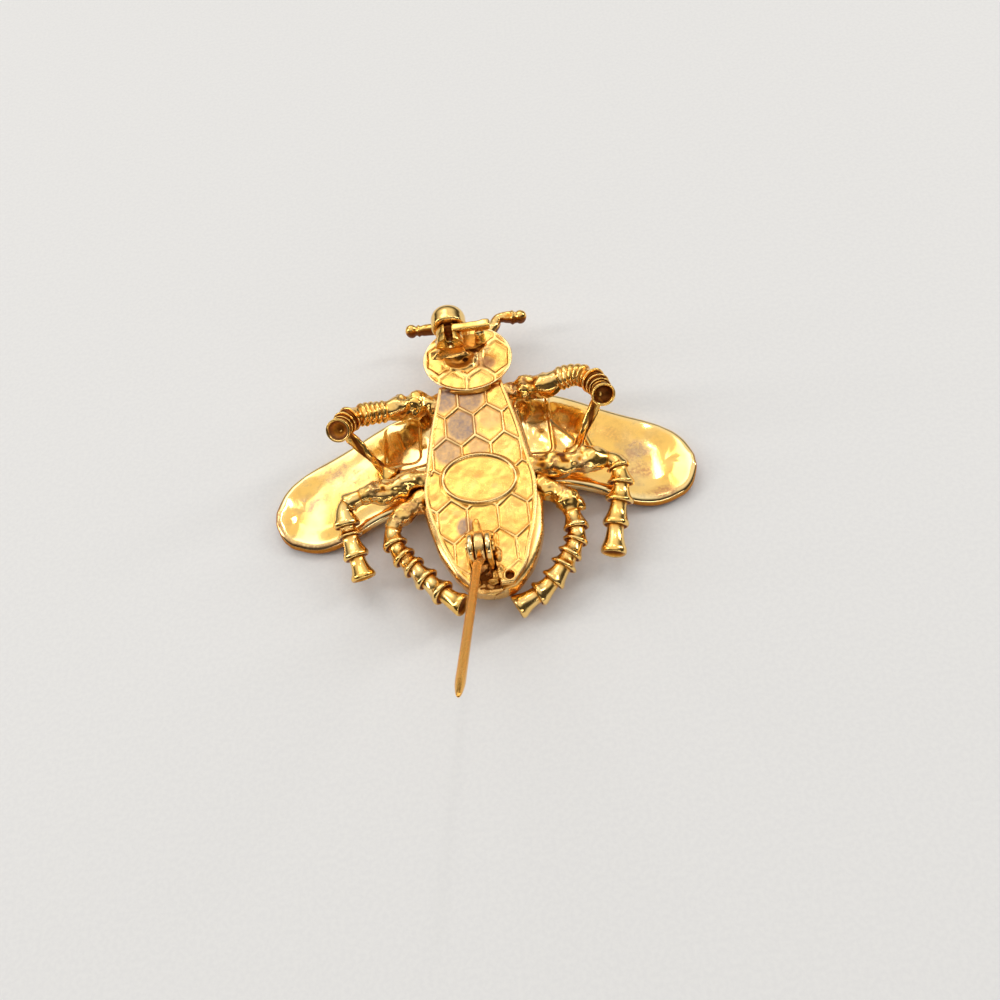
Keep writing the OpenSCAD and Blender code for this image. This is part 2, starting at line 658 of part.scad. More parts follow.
placed() body();
placed() head();
placed() color(gold) mirror([1, 0, 0])  // wing_left
    wing(wing_reach_left, wing_y - wing_skew / 2);
placed() color(gold) wing(wing_reach, wing_y + wing_skew / 2);  // wing_right
placed() color(gold) mirror([1, 0, 0])  // leg_front_left
        front_leg(FRONT_LEFT, FRONT_ROOT_LEFT, [0.445, 0.32, 0.65], wing_y - wing_skew / 2);
placed() color(gold)  // leg_front_right
        front_leg(FRONT_RIGHT, FRONT_ROOT_RIGHT, [0.455, 0.24, 0.65], wing_y + wing_skew / 2);
placed() color(gold) mirror([1, 0, 0]) leg(MIDDLE_LEFT, MIDDLE_ROOT, middle_reach, 0.4, 5);  // leg_middle_left
placed() color(gold) leg(MIDDLE_RIGHT, MIDDLE_ROOT, middle_reach, 0.4, 5);  // leg_middle_right
placed() color(gold) mirror([1, 0, 0]) leg(REAR_LEFT, REAR_ROOT, REAR_REACH, 0.25, 6);  // leg_rear_left
placed() color(gold) leg(REAR_RIGHT, REAR_ROOT, REAR_REACH, 0.25, 7);  // leg_rear_right
placed() color(gold) mirror([1, 0, 0]) antenna([0.55, -0.3]);  // antenna_left
placed() color(gold) antenna([0.6, 0.2]);  // antenna_right
placed() hinge_bracket();
placed() hinge_rivet();
placed() pin_stem();
placed() catch_body();
placed() catch_roller();
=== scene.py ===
from math import pi, radians

import bmesh
import bpy
import numpy as np
from mathutils import Matrix, Vector
from numpy import array, clip, concatenate, cos, hypot, linspace, maximum, minimum, sin, sqrt, stack


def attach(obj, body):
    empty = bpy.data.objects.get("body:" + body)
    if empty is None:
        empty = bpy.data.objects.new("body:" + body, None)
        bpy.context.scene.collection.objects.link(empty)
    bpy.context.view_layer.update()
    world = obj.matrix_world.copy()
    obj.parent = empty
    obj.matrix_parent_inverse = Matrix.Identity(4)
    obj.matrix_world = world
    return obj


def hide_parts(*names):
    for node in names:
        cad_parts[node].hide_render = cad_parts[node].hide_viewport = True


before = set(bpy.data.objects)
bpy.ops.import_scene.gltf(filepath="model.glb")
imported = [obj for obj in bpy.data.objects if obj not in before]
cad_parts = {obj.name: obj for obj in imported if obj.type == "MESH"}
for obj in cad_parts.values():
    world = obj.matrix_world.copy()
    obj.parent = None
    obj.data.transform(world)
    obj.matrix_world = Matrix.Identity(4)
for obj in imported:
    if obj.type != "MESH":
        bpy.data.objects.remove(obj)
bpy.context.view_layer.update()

# Lengths are in millimetres, from a datum in the middle of the back plate, until a piece is made.
MM = 0.001
DATUM = array([0, 3.1833, 0])

PLATE_LEN = 28.2
PLATE_W = 13.6
PLATE_TOP = 7
PLATE_T = 0.8
TAIL_Y = -14.0013
FRONT_Y = 14.1987
SHELL_HALF = 7.4
SHELL_MID = 4.34
CELL_PITCH = 3.65
CELL_STRETCH = 1.4
RIDGE_W = 0.45
CELL_DEPTH = 0.25
OVAL = (9.4, 7.1, 0.45, 0.3, radians(-6))
HEAD_Y = 17.7987
HEAD_W = 11.7
HEAD_LEN = 10.2
HEAD_TOP = 7.6
HEAD_TURN = radians(-5)
WING_CHORD = 15.0024
WING_T = 1.7
WING_ROOT_Z = 2.4
LEG_THIN = 1
LEG_WIDE = 1.54
PIN_Z = 9.8
HINGE = array([-0.5, -10.4013, PIN_Z])
EYE_W = 1.05
EYE_GAP = 0.13
EYE_R = 1.75
EAR_T = 0.7
EAR_R = 1.6
CATCH_X = -1.9
RING_Y = (18.167, 19.317)
ROLLER_Y = (19.417, 20.667)
DOME_Y = 21.067
VENT = (2.448, TAIL_Y + 0.9)
NOTCH_HALF = 1.768
ANTENNA_ROOT_Y = 22.6947
ANTENNA_TIP = (7.6, 26.1987, 4.2)
# Reach and forward shift of the right and the left wing
WINGS = ((27.2, 0.6), (26.8, -0.2))
# How far a leg's table reaches out
FRONT_REACH = 11.2
MIDDLE_REACH = 9.6
REAR_REACH = (14.2, 14.2, 14)

# Shapes: share along the piece, then half width, depth and lean, or the wing's front and rear edge and
# height. A leg's table holds places on its path.
PLAN = [
    [0, 0.36, 0.06], [0.03, 0.46, 0.06], [0.06, 0.56, 0.057], [0.1, 0.645, 0.055], [0.15, 0.715, 0.04],
    [0.2, 0.79, 0.03], [0.28, 0.885, 0.026], [0.36, 0.965, 0.01], [0.43, 1, 0], [0.48, 1, 0],
    [0.56, 0.945, 0], [0.66, 0.88, 0], [0.76, 0.815, 0], [0.87, 0.72, 0], [1, 0.6, 0]]
SHELL = [
    [-0.014, 0.18, 0.3, 0.055], [0, 0.34, 0.45, 0.055], [0.02, 0.44, 0.56, 0.055], [0.05, 0.54, 0.68, 0.06],
    [0.08, 0.63, 0.75, 0.06], [0.12, 0.72, 0.84, 0.06], [0.2, 0.85, 0.913, 0.05],
    [0.28, 0.925, 0.967, 0.04], [0.36, 0.975, 1, 0.015], [0.43, 1, 1, 0], [0.46, 1, 0.97, 0],
    [0.56, 0.95, 0.85, 0], [0.66, 0.89, 0.82, 0], [0.76, 0.83, 0.93, 0], [0.87, 0.743, 1, 0],
    [1, 0.63, 0.95, 0], [1.01, 0.5, 0.75, 0]]
HEAD = [
    [0.02, 0.3], [0.06, 0.48], [0.14, 0.6], [0.26, 0.69], [0.42, 0.74], [0.62, 0.75], [0.86, 0.72],
    [0.93, 0.7]]
WING = [
    [0.24, 0.9, -0.06, 1], [0.36, 0.87, -0.06, 0.8], [0.49, 0.79, -0.11, 0.55], [0.61, 0.69, -0.2, 0.33],
    [0.72, 0.61, -0.27, 0.12], [0.81, 0.545, -0.275, 0], [0.89, 0.455, -0.235, 0.03],
    [0.945, 0.36, -0.185, 0.12], [0.98, 0.245, -0.1, 0.25], [1, 0.115, 0.005, 0.42]]
FRONT_RIGHT = [
    [0, 0, 0], [0.28, -0.03, 0.08], [0.43, -0.05, 0.13], [0.55, -0.02, 0.16], [0.72, -0.03, 0.21],
    [0.85, -0.1, 0.25], [0.94, -0.23, 0.31], [0.98, -0.39, 0.39], [0.99, -0.52, 0.47]]
FRONT_LEFT = [
    [0, 0, 0], [0.15, 0.01, 0.05], [0.33, -0.02, 0.1], [0.48, -0.07, 0.14], [0.61, -0.1, 0.17],
    [0.74, -0.13, 0.21], [0.86, -0.18, 0.27], [0.94, -0.28, 0.33], [0.98, -0.4, 0.41], [0.99, -0.49, 0.5]]
MIDDLE_RIGHT = [
    [0, 0, 0], [0.26, -0.01, 0.02], [0.55, -0.02, 0.04], [0.85, -0.03, 0.04], [1, -0.09, 0],
    [1.03, -0.3, -0.05], [0.98, -0.54, -0.12], [0.89, -0.84, -0.2], [0.8, -1.22, -0.26]]
MIDDLE_LEFT = [
    [0, 0, 0], [0.18, -0.01, 0.01], [0.4, -0.07, 0.02], [0.68, -0.11, 0.04], [0.91, -0.17, 0.03],
    [1.02, -0.27, 0], [1.01, -0.43, -0.04], [0.98, -0.6, -0.1], [0.93, -0.82, -0.16], [0.84, -1.14, -0.26]]
REAR_RIGHT = [
    [0, 0, 0], [0.09, -0.05, 0], [0.17, -0.135, -0.005], [0.195, -0.235, -0.02], [0.21, -0.333, -0.03],
    [0.216, -0.424, -0.04], [0.194, -0.508, -0.055], [0.154, -0.588, -0.065], [0.095, -0.667, -0.08],
    [0.035, -0.745, -0.1], [-0.044, -0.82, -0.13], [-0.13, -0.885, -0.15], [-0.24, -0.94, -0.16],
    [-0.36, -1, -0.17]]
REAR_LEFT = [
    [0, 0, 0], [0.09, -0.055, 0], [0.196, -0.14, -0.01], [0.245, -0.259, -0.02], [0.213, -0.391, -0.03],
    [0.146, -0.498, -0.04], [0.06, -0.604, -0.045], [-0.045, -0.729, -0.05], [-0.146, -0.835, -0.045],
    [-0.25, -0.933, -0.035], [-0.315, -0.979, -0.025]]


def add(name, data):
    made = bpy.data.objects.new(name, data)
    bpy.context.scene.collection.objects.link(made)
    return made


# Camera: tail of the bee towards the viewer, seen from well above the table

def place_camera():
    yaw, tilt, roll = -0.0794, radians(62), -0.1967
    ahead = Vector((sin(yaw) * cos(tilt), cos(yaw) * cos(tilt), -sin(tilt)))
    level = Vector((cos(yaw), -sin(yaw), 0))
    above = level.cross(ahead)
    right = level * cos(roll) + above * sin(roll)
    up = above * cos(roll) - level * sin(roll)
    lens = bpy.data.cameras.new("photo_view")
    lens.lens = 32.4
    lens.clip_start = 0.002
    view = add("photo_view", lens)
    rows = Matrix((right, up, -ahead)).transposed().to_4x4()
    view.matrix_world = Matrix.Translation(Vector((6.257, -50.680, 102.340)) * MM) @ rows
    bpy.context.scene.camera = view
    bpy.context.scene.view_settings.view_transform = "Standard"


# Numbers and curves

def ramp(low, high, value):
    """Smooth step from 0 at low to 1 at high"""
    t = clip((value - low) / (high - low), 0, 1)
    return t * t * (3 - 2 * t)


def ridge(distance, width):
    """1 at no distance, falling smoothly to both sides"""
    return np.exp(-(distance / width) ** 2)


def circle(count):
    """Points once round a circle: their cosines and sines"""
    a = linspace(0, 2 * pi, count, endpoint=False)
    return cos(a), sin(a)


def rounded(value, power):
    """Power that keeps the sign, for outlines between an oval and a square"""
    return np.sign(value) * abs(value) ** power


def xyz(x, y, z):
    return stack(np.broadcast_arrays(x, y, z), -1)


def reading(table, column, s):
    """Value of a table's column at the shares s, on a smooth curve through its rows"""
    x, y = array(table, float)[:, [0, column]].T
    slope = np.gradient(y, x)
    i = clip(np.searchsorted(x, s) - 1, 0, len(x) - 2)
    step = x[i + 1] - x[i]
    t = clip((s - x[i]) / step, 0, 1)
    return ((1 + 2 * t) * (1 - t) ** 2 * y[i] + t * (1 - t) ** 2 * step * slope[i]
            + t * t * (3 - 2 * t) * y[i + 1] + t * t * (t - 1) * step * slope[i + 1])


def curve(points):
    """Smooth curve through the points"""
    p = array(points, float)
    p = np.vstack([p[:1], p, p[-1:]])
    out = []
    for a, b, c, d in zip(p, p[1:], p[2:], p[3:]):
        for t in linspace(0, 0.9, 10):
            out.append(0.5 * (2 * b + (c - a) * t + (2 * a - 5 * b + 4 * c - d) * t * t
                              + (3 * b - a - 3 * c + d) * t ** 3))
    return np.vstack([out, p[-1:]])


def lumps(points, size, seed, layers=2):
    """Smooth unevenness of a hand-finished casting, about -1 to 1, with lumps of a size"""
    total = np.zeros(points.shape[:-1])
    for layer in range(layers):
        table = np.random.default_rng(seed * 10 + layer).uniform(-1, 1, (24, 24, 24))
        q = points / (size / 2 ** layer) + 0.37 * seed
        cell = np.floor(q).astype(int)
        t = q - cell
        t = t * t * (3 - 2 * t)
        for corner in np.ndindex(2, 2, 2):
            weight = np.prod(np.where(corner, t, 1 - t), axis=-1)
            i = (cell + array(corner)) % 24
            total += weight * table[i[..., 0], i[..., 1], i[..., 2]] / 1.8 ** layer
    return total


def norm(v):
    return np.linalg.norm(v, axis=-1)


def unit(v):
    return v / norm(v)[..., None]


# A form is the surface of a piece while it is made, with marks on its points:
# groove, painted shade with some patina, how deep in a crevice, hollow or underside; stain, grey-violet
# tarnish; rust, red-brown tarnish; worn, rubbed pale, and painted highlight in a few places.

MARKS = ("groove", "stain", "rust", "worn")


class Form:
    def __init__(self, points, faces, marks):
        self.points = points
        self.faces = faces
        self.marks = {m: np.zeros(len(points)) + np.ravel(marks.get(m, 0)) for m in MARKS}

    def __add__(self, other):
        faces = np.vstack([self.faces, other.faces + len(self.points)])
        marks = {m: concatenate([self.marks[m], other.marks[m]]) for m in MARKS}
        return Form(np.vstack([self.points, other.points]), faces, marks)

    @property
    def z(self):
        return self.points[:, 2]

    def mirrored(self):
        return Form(self.points * [-1, 1, 1], self.faces[:, ::-1], self.marks)

    def normals(self):
        total = np.zeros_like(self.points)
        p = self.points[self.faces]
        n = np.cross(p[:, 2] - p[:, 0], p[:, 3] - p[:, 1])
        for k in range(4):
            np.add.at(total, self.faces[:, k], n)
        return total / maximum(norm(total), 1e-12)[:, None]

    def cast(self, size, depth, seed, where, darken):
        """Uneven surface, with painted shade darkening its hollows"""
        value = lumps(self.points, size, seed)
        self.points = self.points + self.normals() * (value * depth * where)[:, None]
        self.marks["groove"] = clip(self.marks["groove"] + darken * ramp(0.25, 1, -value) * where, 0, 1)
        return self

    def shade_underside(self, amount, start=0, up=(0, 0, 1)):
        """Painted shade on the faces turned away from up, darker the further they turn away"""
        n = self.normals()
        outward = np.sign(np.sum(n * (self.points - self.points.mean(0))))
        return self.mark(groove=ramp(start, start - 0.7, n @ array(up) * outward) * amount)

    def mark(self, **amounts):
        for name, amount in amounts.items():
            self.marks[name] = clip(maximum(self.marks[name], amount), 0, 1)
        return self


def surface(points, around=False, **marks):
    """Form over a grid of points, rows by columns, closed around its columns or not"""
    m, n = points.shape[:2]
    index = np.arange(m * n).reshape(m, n)
    if around:
        index = np.hstack([index, index[:, :1]])
    faces = stack([index[:-1, :-1], index[:-1, 1:], index[1:, 1:], index[1:, :-1]], -1).reshape(-1, 4)
    marks = {name: clip(np.broadcast_to(value, (m, n)), 0, 1) for name, value in marks.items()}
    return Form(points.reshape(-1, 3), faces, marks)


def capped(rings):
    """Rings with a point before the first and after the last"""
    first, last = (np.broadcast_to(r.mean(1, keepdims=True), r.shape) for r in (rings[:1], rings[-1:]))
    return concatenate([first, rings, last])


def lengths_of(path):
    """Length along a path at each of its points"""
    return concatenate([[0], np.cumsum(norm(np.diff(path, axis=0)))])


def bar(path, rows, sides, seed, section=None):
    """Round bar along a path. Rows hold the length along it and the radius, then waviness and painted shade
    with some patina where they are not 0. A section gives the share of the radius at each length and angle."""
    path = np.asarray(path, float)
    lengths = lengths_of(path)
    onward = unit(np.gradient(path, axis=0))
    rows = array([[*row, 0, 0][:4] for row in rows], float)
    s = clip(rows[:, 0], 0, lengths[-1])

    def at(values):
        return stack([np.interp(s, lengths, values[:, k]) for k in range(3)], -1)

    t = unit(at(onward))
    centre = at(path) + t * (rows[:, 0] - s)[:, None]
    a = unit(at(unit(np.cross(onward, [0, 0, 1]))))
    u = np.cross(a, t)
    angle = linspace(0, 2 * pi, sides, endpoint=False)
    c, d = circle(sides)
    probe = xyz(c * 1.2, d * 1.2, rows[:, :1] * 0.55)
    radius, waviness = rows[:, 1, None], rows[:, 2, None]
    wave = lumps(probe, 1, seed) * waviness
    slide = lumps(probe + 7, 1.3, seed + 1, 1) * waviness
    radius = radius + wave * (radius > 0)
    if section:
        radius = radius * section(rows[:, :1], angle)
    points = (centre[:, None] + radius[..., None] * (c[:, None] * a[:, None] + d[:, None] * u[:, None])
              + slide[..., None] * t[:, None])
    return surface(points[:, ::-1], True, groove=rows[:, 3:])


def closed(rows):
    """Rows with a point at each end"""
    return [[rows[0][0], 0, *rows[0][2:]], *rows, [rows[-1][0], 0, *rows[-1][2:]]]


def lathe(start, axis, rows, sides, seed):
    """Turned piece whose rows run from its start along its axis"""
    return bar([start + array(axis) * t for t in (0, 0.5, 1)], rows, sides, seed)


def side_x(y, z):
    """Place of the shell's side"""
    share, width, depth, _ = array(SHELL).T
    s = clip((y - TAIL_Y) / PLATE_LEN, share[0], share[-1])
    upper = z > SHELL_MID
    e = 0.5 if upper else 0.85
    reach = PLATE_TOP - PLATE_T - SHELL_MID if upper else SHELL_MID * np.interp(s, share, depth)
    half = SHELL_HALF * np.interp(s, share, width)
    return half * max(0, 1 - min(1, abs(z - SHELL_MID) / reach) ** (2 / e)) ** (e / 2) + 0.12


def block(centre, size, bevel, square, seed, depth):
    """Rounded block, for lugs and feet: square is near 0 for sharp upright corners, 1 for an oval"""
    ring = stack([rounded(v, square) for v in circle(72)], -1)
    half = array(size) / 2
    low, high = -half[2], half[2]
    levels = [(low, None), (low, bevel), (low + bevel * 0.3, bevel * 0.3), (low + bevel, 0)]
    levels += [(z, 0) for z in linspace(low + bevel, high - bevel, 8)[1:-1]]
    levels += [(high - bevel, 0), (high - bevel * 0.3, bevel * 0.3), (high, bevel), (high, None)]
    points = []
    for z, inset in levels:
        wide = np.zeros(2) if inset is None else half[:2] - inset
        points.append(xyz(*(ring * wide).T, z) + centre)
    return surface(array(points), True).cast(0.9, depth, seed, 1, 0.5)


# Materials

class Level:
    """A number or colour that changes over a surface. Arithmetic on it adds Math nodes."""

    def __init__(self, finish, socket):
        self.finish = finish
        self.socket = socket

    def math(self, operation, *values):
        return self.finish.node("ShaderNodeMath", {"operation": operation}, dict(enumerate(values)))

    def __add__(self, other):
        return self.math("ADD", self, other)

    def __sub__(self, other):
        return self.math("SUBTRACT", self, other)

    def __rsub__(self, other):
        return self.math("SUBTRACT", other, self)

    def __mul__(self, other):
        return self.math("MULTIPLY", self, other)

    __radd__ = __add__
    __rmul__ = __mul__

    def clipped(self):
        return self.math("MAXIMUM", self.math("MINIMUM", self, 1), 0)

    def step(self, low, high):
        inputs = {"Value": self, "From Min": low, "From Max": high}
        return self.finish.node("ShaderNodeMapRange", {"interpolation_type": "SMOOTHSTEP"}, inputs)


class Finish:
    """A material or the studio's light, put together node by node"""

    def __init__(self, name, kind="materials"):
        self.block = getattr(bpy.data, kind).new(name)
        self.block.use_nodes = True
        self.tree = self.block.node_tree
        self.tree.nodes.clear()

    def node(self, kind, settings=None, inputs=None, output=0):
        made = self.tree.nodes.new(kind)
        for name, value in (settings or {}).items():
            setattr(made, name, value)
        for name, value in (inputs or {}).items():
            if isinstance(value, Level):
                self.tree.links.new(value.socket, made.inputs[name])
            else:
                made.inputs[name].default_value = value
        return Level(self, made.outputs[output]) if made.outputs else made

    def mark(self, name):
        return self.node("ShaderNodeAttribute", {"attribute_name": name}, output=2)

    def noise(self, size, detail, rough=0.55, stretch=(1, 1, 1)):
        """Noise with a size in millimetres"""
        place = self.node("ShaderNodeTexCoord", output=3)
        scaled = self.node("ShaderNodeVectorMath", {"operation": "MULTIPLY"}, {0: place, 1: stretch})
        inputs = {"Vector": scaled, "Scale": 1000 / size, "Detail": detail, "Roughness": rough}
        return self.node("ShaderNodeTexNoise", None, inputs)

    def cells(self, size):
        place = self.node("ShaderNodeTexCoord", output=3)
        return self.node("ShaderNodeTexVoronoi", None, {"Vector": place, "Scale": 1000 / size})

    def shaded(self, inputs):
        """The finished material, with the shader's inputs"""
        shader = self.node("ShaderNodeBsdfPrincipled", None, inputs)
        self.node("ShaderNodeOutputMaterial", None, {"Surface": shader})
        return self.block

    def mix(self, first, second, share):
        return self.node("ShaderNodeMix", {"data_type": "RGBA"}, {0: share, 6: first, 7: second}, output=2)


GOLD = (1, 0.61, 0.155, 1)
DEEP_GOLD = (0.92, 0.51, 0.12, 1)
WIRE_GOLD = (0.9, 0.46, 0.09, 1)
CREAM = (1, 0.79, 0.4, 1)
AMBER = (0.78, 0.3, 0.03, 1)
BROWN = (0.2, 0.06, 0.012, 1)
VIOLET_GREY = (0.33, 0.235, 0.19, 1)
RED_BROWN = (0.42, 0.17, 0.08, 1)


def gold(name, rough=0.16, tarnish=0.5, pits=0.25, grain=0.1, scratches=0.15, brushed=(9, 0.6, 1),
         tone=GOLD, pale=0.35, occlusion_shade=0.85):
    """Gold plate over a casting: yellow gold, amber to brown painted shade with some patina in crevices,
    tarnish in patches
    """
    f = Finish(name)
    broad = f.noise(6, 2)
    patch = f.noise(2.2, 4, 0.6)
    fine = f.noise(0.35, 3, 0.6)
    groove, stain, rust, worn = (f.mark(m) for m in MARKS)
    # Ambient occlusion paints shade into crevices and under parts, less on rubbed places
    hidden = f.node("ShaderNodeAmbientOcclusion", {"samples": 6, "only_local": False},
                    {"Distance": 0.0011}, output=1)
    deep = groove + (1 - hidden).step(0.25, 0.95) * (occlusion_shade - worn * occlusion_shade * 0.75) + (fine - 0.5) * 0.25
    deep = deep.clipped()
    colour = f.mix(tone, CREAM, (broad.step(0.4, 0.65) * pale + worn * 0.7).clipped())
    dull = patch.step(0.56, 0.7) * tarnish * 0.5 + stain * (fine + 0.35)
    colour = f.mix(colour, VIOLET_GREY, dull.clipped())
    red = patch.step(0.5, 0.28) * tarnish * 0.35 + rust * fine.step(0.2, 0.65)
    colour = f.mix(colour, RED_BROWN, red.clipped())
    # Amber, then brown: the painted shade and patina, by how deep the shade is
    colour = f.mix(colour, AMBER, deep.step(0.08, 0.75))
    colour = f.mix(colour, BROWN, deep.step(0.55, 1))
    shine = rough + deep * 0.3 + stain * 0.22 + rust * 0.15 + (patch - 0.5) * 0.16 + (fine - 0.5) * 0.08
    lines = f.noise(0.5, 2, 0.5, brushed)
    speck = f.cells(0.9).step(0.12, 0)
    height = lines * scratches + fine * grain + patch * pits - speck * pits * 0.6
    bump = f.node("ShaderNodeBump", None, {"Strength": 0.55, "Distance": 0.00008, "Height": height})
    return f.shaded({"Base Color": colour, "Roughness": shine.clipped(), "Metallic": 1, "Normal": bump})


def make(name, form, material, slot, body, *nodes):
    """Piece from a form, in the part's frame and in metres"""
    mesh = bpy.data.meshes.new(name)
    mesh.from_pydata(((form.points + DATUM) * MM).tolist(), [], form.faces.tolist())
    for mark in MARKS:
        layer = mesh.attributes.new(mark, "FLOAT", "POINT")
        layer.data.foreach_set("value", form.marks[mark].astype(np.float32))
    work = bmesh.new()
    work.from_mesh(mesh)
    bmesh.ops.remove_doubles(work, verts=work.verts, dist=0.0000008)
    work.to_mesh(mesh)
    work.free()
    mesh.shade_smooth()
    mesh.materials.append(material)
    piece = add(name, mesh)
    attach(piece, body)
    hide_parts(*nodes)


# Back plate and shell

def turned(x, y, angle):
    return x * cos(angle) + y * sin(angle), y * cos(angle) - x * sin(angle)


def comb(x, y, row_y, shift=0):
    """Distance from the edges of the honeycomb's cells, with a number for each cell"""
    v = (y - row_y) / CELL_STRETCH
    pitch = CELL_PITCH * sqrt(3) / 2
    best = np.full(x.shape, 1e9)
    code = np.zeros(x.shape)
    for dj in (-1, 0, 1):
        j = np.round(v / pitch) + dj
        half = np.mod(abs(j), 2) / 2
        i = np.round((x - shift) / CELL_PITCH - half)
        dx = abs(x - shift - (i + half) * CELL_PITCH)
        dy = abs(v - j * pitch)
        reach = maximum(dx, dx / 2 + dy * sqrt(3) / 2)
        closer = reach < best
        best = np.where(closer, reach, best)
        code = np.where(closer, i * 7.3 + j * 3.1, code)
    return CELL_PITCH / 2 - best, code


def oval_distance(x, y, a, b, angle):
    u, v = turned(x, y, angle)
    q = sqrt((u / a) ** 2 + (v / b) ** 2) + 1e-9
    slope = sqrt((u / a ** 2) ** 2 + (v / b ** 2) ** 2) / q + 1e-9
    return (q - 1) / slope


def notch_distance(x, y):
    """Distance inside the tail notch, negative outside"""
    half = EYE_W / 2 + EYE_GAP + EAR_T + 0.12
    low = clip((HINGE[1] - EAR_R - y) / (HINGE[1] - EAR_R - TAIL_Y + 1.2), 0, 1)
    wide = half + (NOTCH_HALF - half) * low
    return minimum(wide - abs(x - HINGE[0] * (1 - low)), HINGE[1] + EAR_R + 0.24 - y)


# Place, size and strength of the tarnish in single cells
STAINED_CELLS = [
    (-3.7, 12.7, 1.9, 0.95), (-0.4, 12.2, 1.9, 0.9), (-1.55, 8, 1.9, 0.95), (-3.6, 4.6, 1.7, 0.75),
    (0.3, 4.9, 1.3, 0.55), (2.1, 8.8, 1.5, 0.4), (-2.2, -6.3, 1, 0.95)]


def back_plate():
    v = linspace(0, 1, 361)
    half, lean = (reading(PLAN, column, v)[:, None] * PLATE_W / 2 for column in (1, 2))
    x = lean + linspace(-1, 1, 181) * half
    y = TAIL_Y + v[:, None] * PLATE_LEN + 0 * x
    inside = minimum(half - abs(x - lean), minimum(y - TAIL_Y, FRONT_Y - y) * 0.9)
    flat = xyz(x, y, 0)
    edge, code = comb(x, y, TAIL_Y + PLATE_LEN * 0.775, -CELL_PITCH / 2)
    edge = edge + lumps(flat, 2.3, 5) * 0.05
    oval_w, oval_h, rim, rise, turn = OVAL
    out = oval_distance(x, y, oval_w / 2, oval_h / 2, turn)
    field = ramp(0.12, 0.3, out) * ramp(RIDGE_W * 0.8, RIDGE_W * 1.35, inside)
    faint = 0.28 + 0.72 * ramp(-13, -6.5, y)
    sunk = ramp(0.05, 0.2, edge) * field
    line = ridge(edge - 0.21, 0.06) * field * faint
    z = PLATE_TOP - CELL_DEPTH * 0.6 * sunk * faint - 0.05 * line
    z = z + sin(code * 12.9) * 0.03 * sunk * ramp(0.4, 1.6, edge)
    ring = clip(1 - ((out + rim / 2) / (rim / 2)) ** 2, 0, 1) ** 0.5
    bowl = ramp(-rim, -rim - 0.25, out)
    z = z + ring * rise + bowl * (0.02 + 0.05 * lumps(flat, 2.6, 8))
    z = z + lumps(flat, 1.1, 11) * 0.035 * (sunk + bowl * 0.6) + lumps(flat, 4.5, 12) * 0.045
    # Painted shade: dark lines beside the honeycomb's ridges and round the oval's edges
    groove = 0.42 * line + 0.4 * ridge(out - 0.1, 0.11) + 0.24 * ridge(out + rim + 0.08, 0.1)
    notch = notch_distance(x, y) + lumps(flat, 0.8, 14) * 0.12
    pit = ramp(-0.04, 0.05, notch)
    z = z - 0.12 * ramp(0.1, 0, inside) - pit * 1.8 + pit * lumps(flat, 0.6, 15) * 0.15
    lip = ridge(notch + 0.12, 0.12) * ramp(FRONT_Y, HINGE[1], y)
    z = z + lip * 0.08 * (lumps(flat, 0.7, 16) + 0.4)
    vent = hypot(x - VENT[0], y - VENT[1])
    z = z + 0.06 * ridge(vent - 0.66, 0.12) - 1.2 * ramp(0.53, 0.45, vent)
    stain = np.zeros_like(x)
    for cx, cy, size, amount in STAINED_CELLS:
        near = ramp(size * 1.25, size * 0.75, hypot(x - cx, (y - cy) / 1.25))
        stain = maximum(stain, near * amount)
    worn = ramp(0.12, 0.02, edge) * field * faint * 0.6 + ring * 0.8 + ramp(0.4, 0.1, inside) * 0.6
    points = xyz(x, y, z)
    # Painted shade in the tail notch's pit and in the vent hole
    top = surface(points, groove=groove + pit * 0.9 + ramp(0.53, 0.4, vent),
                  stain=stain * (0.35 + 0.65 * sunk) * (1 - pit), worn=clip(worn, 0, 1) * (1 - pit),
                  rust=ramp(0.5, 1.2, lumps(flat, 3.1, 21)) * 0.35 * sunk)
    outline = concatenate([points[:, 0], points[-1, 1:], points[-2::-1, -1], points[0, -2:0:-1]])
    rows = []
    for drop in (0, 0.25, 0.6, 1):
        row = outline.copy()
        row[:, 2] += (minimum(outline[:, 2] - 0.3, 6.05) - outline[:, 2]) * drop
        row[:, :2] *= 1 + 0.006 * sin(drop * pi)
        rows.append(row)
    # Painted shade down the plate's side, darkest at the bottom
    return top + surface(array(rows)[:, ::-1], True, groove=array([0, 0.1, 0.35, 0.8])[:, None])


def shell():
    s = concatenate([linspace(-0.014, 0.06, 26), linspace(0.06, 0.95, 120)[1:], linspace(0.95, 1.01, 18)[1:]])
    c, d = circle(132)
    e = np.where(d > 0, 0.5, 0.85)
    half, lean = (reading(SHELL, column, s)[:, None] * SHELL_HALF for column in (1, 3))
    down = reading(SHELL, 2, s)[:, None] * SHELL_MID
    up = PLATE_TOP - PLATE_T - SHELL_MID + 0.03
    x = lean + half * rounded(c, e)
    y = (TAIL_Y + s * PLATE_LEN)[:, None] + 0 * x
    z = SHELL_MID + np.where(d > 0, up, down) * rounded(d, e)
    cut = ramp(-0.03, 0.06, notch_distance(x, y))
    z = maximum(np.where(z > 5.2, z - (z - 5.2) * cut, z), 0.01)
    points = capped(xyz(x, y, z))[::-1]
    # Painted shade on the shell's top, just under the plate's edge
    form = surface(points, True, groove=ramp(5.7, 6.15, points[..., 2]) * 0.75,
                   worn=ramp(4, 5.2, points[..., 2]) * 0.4)
    quiet = ramp(0.3, 1.2, form.z) * ramp(6.2, 5.6, form.z)
    return form.cast(3.2, 0.06, 31, quiet, 0.1)


# Head: bulb under a disc, with the pool of solder that holds the catch

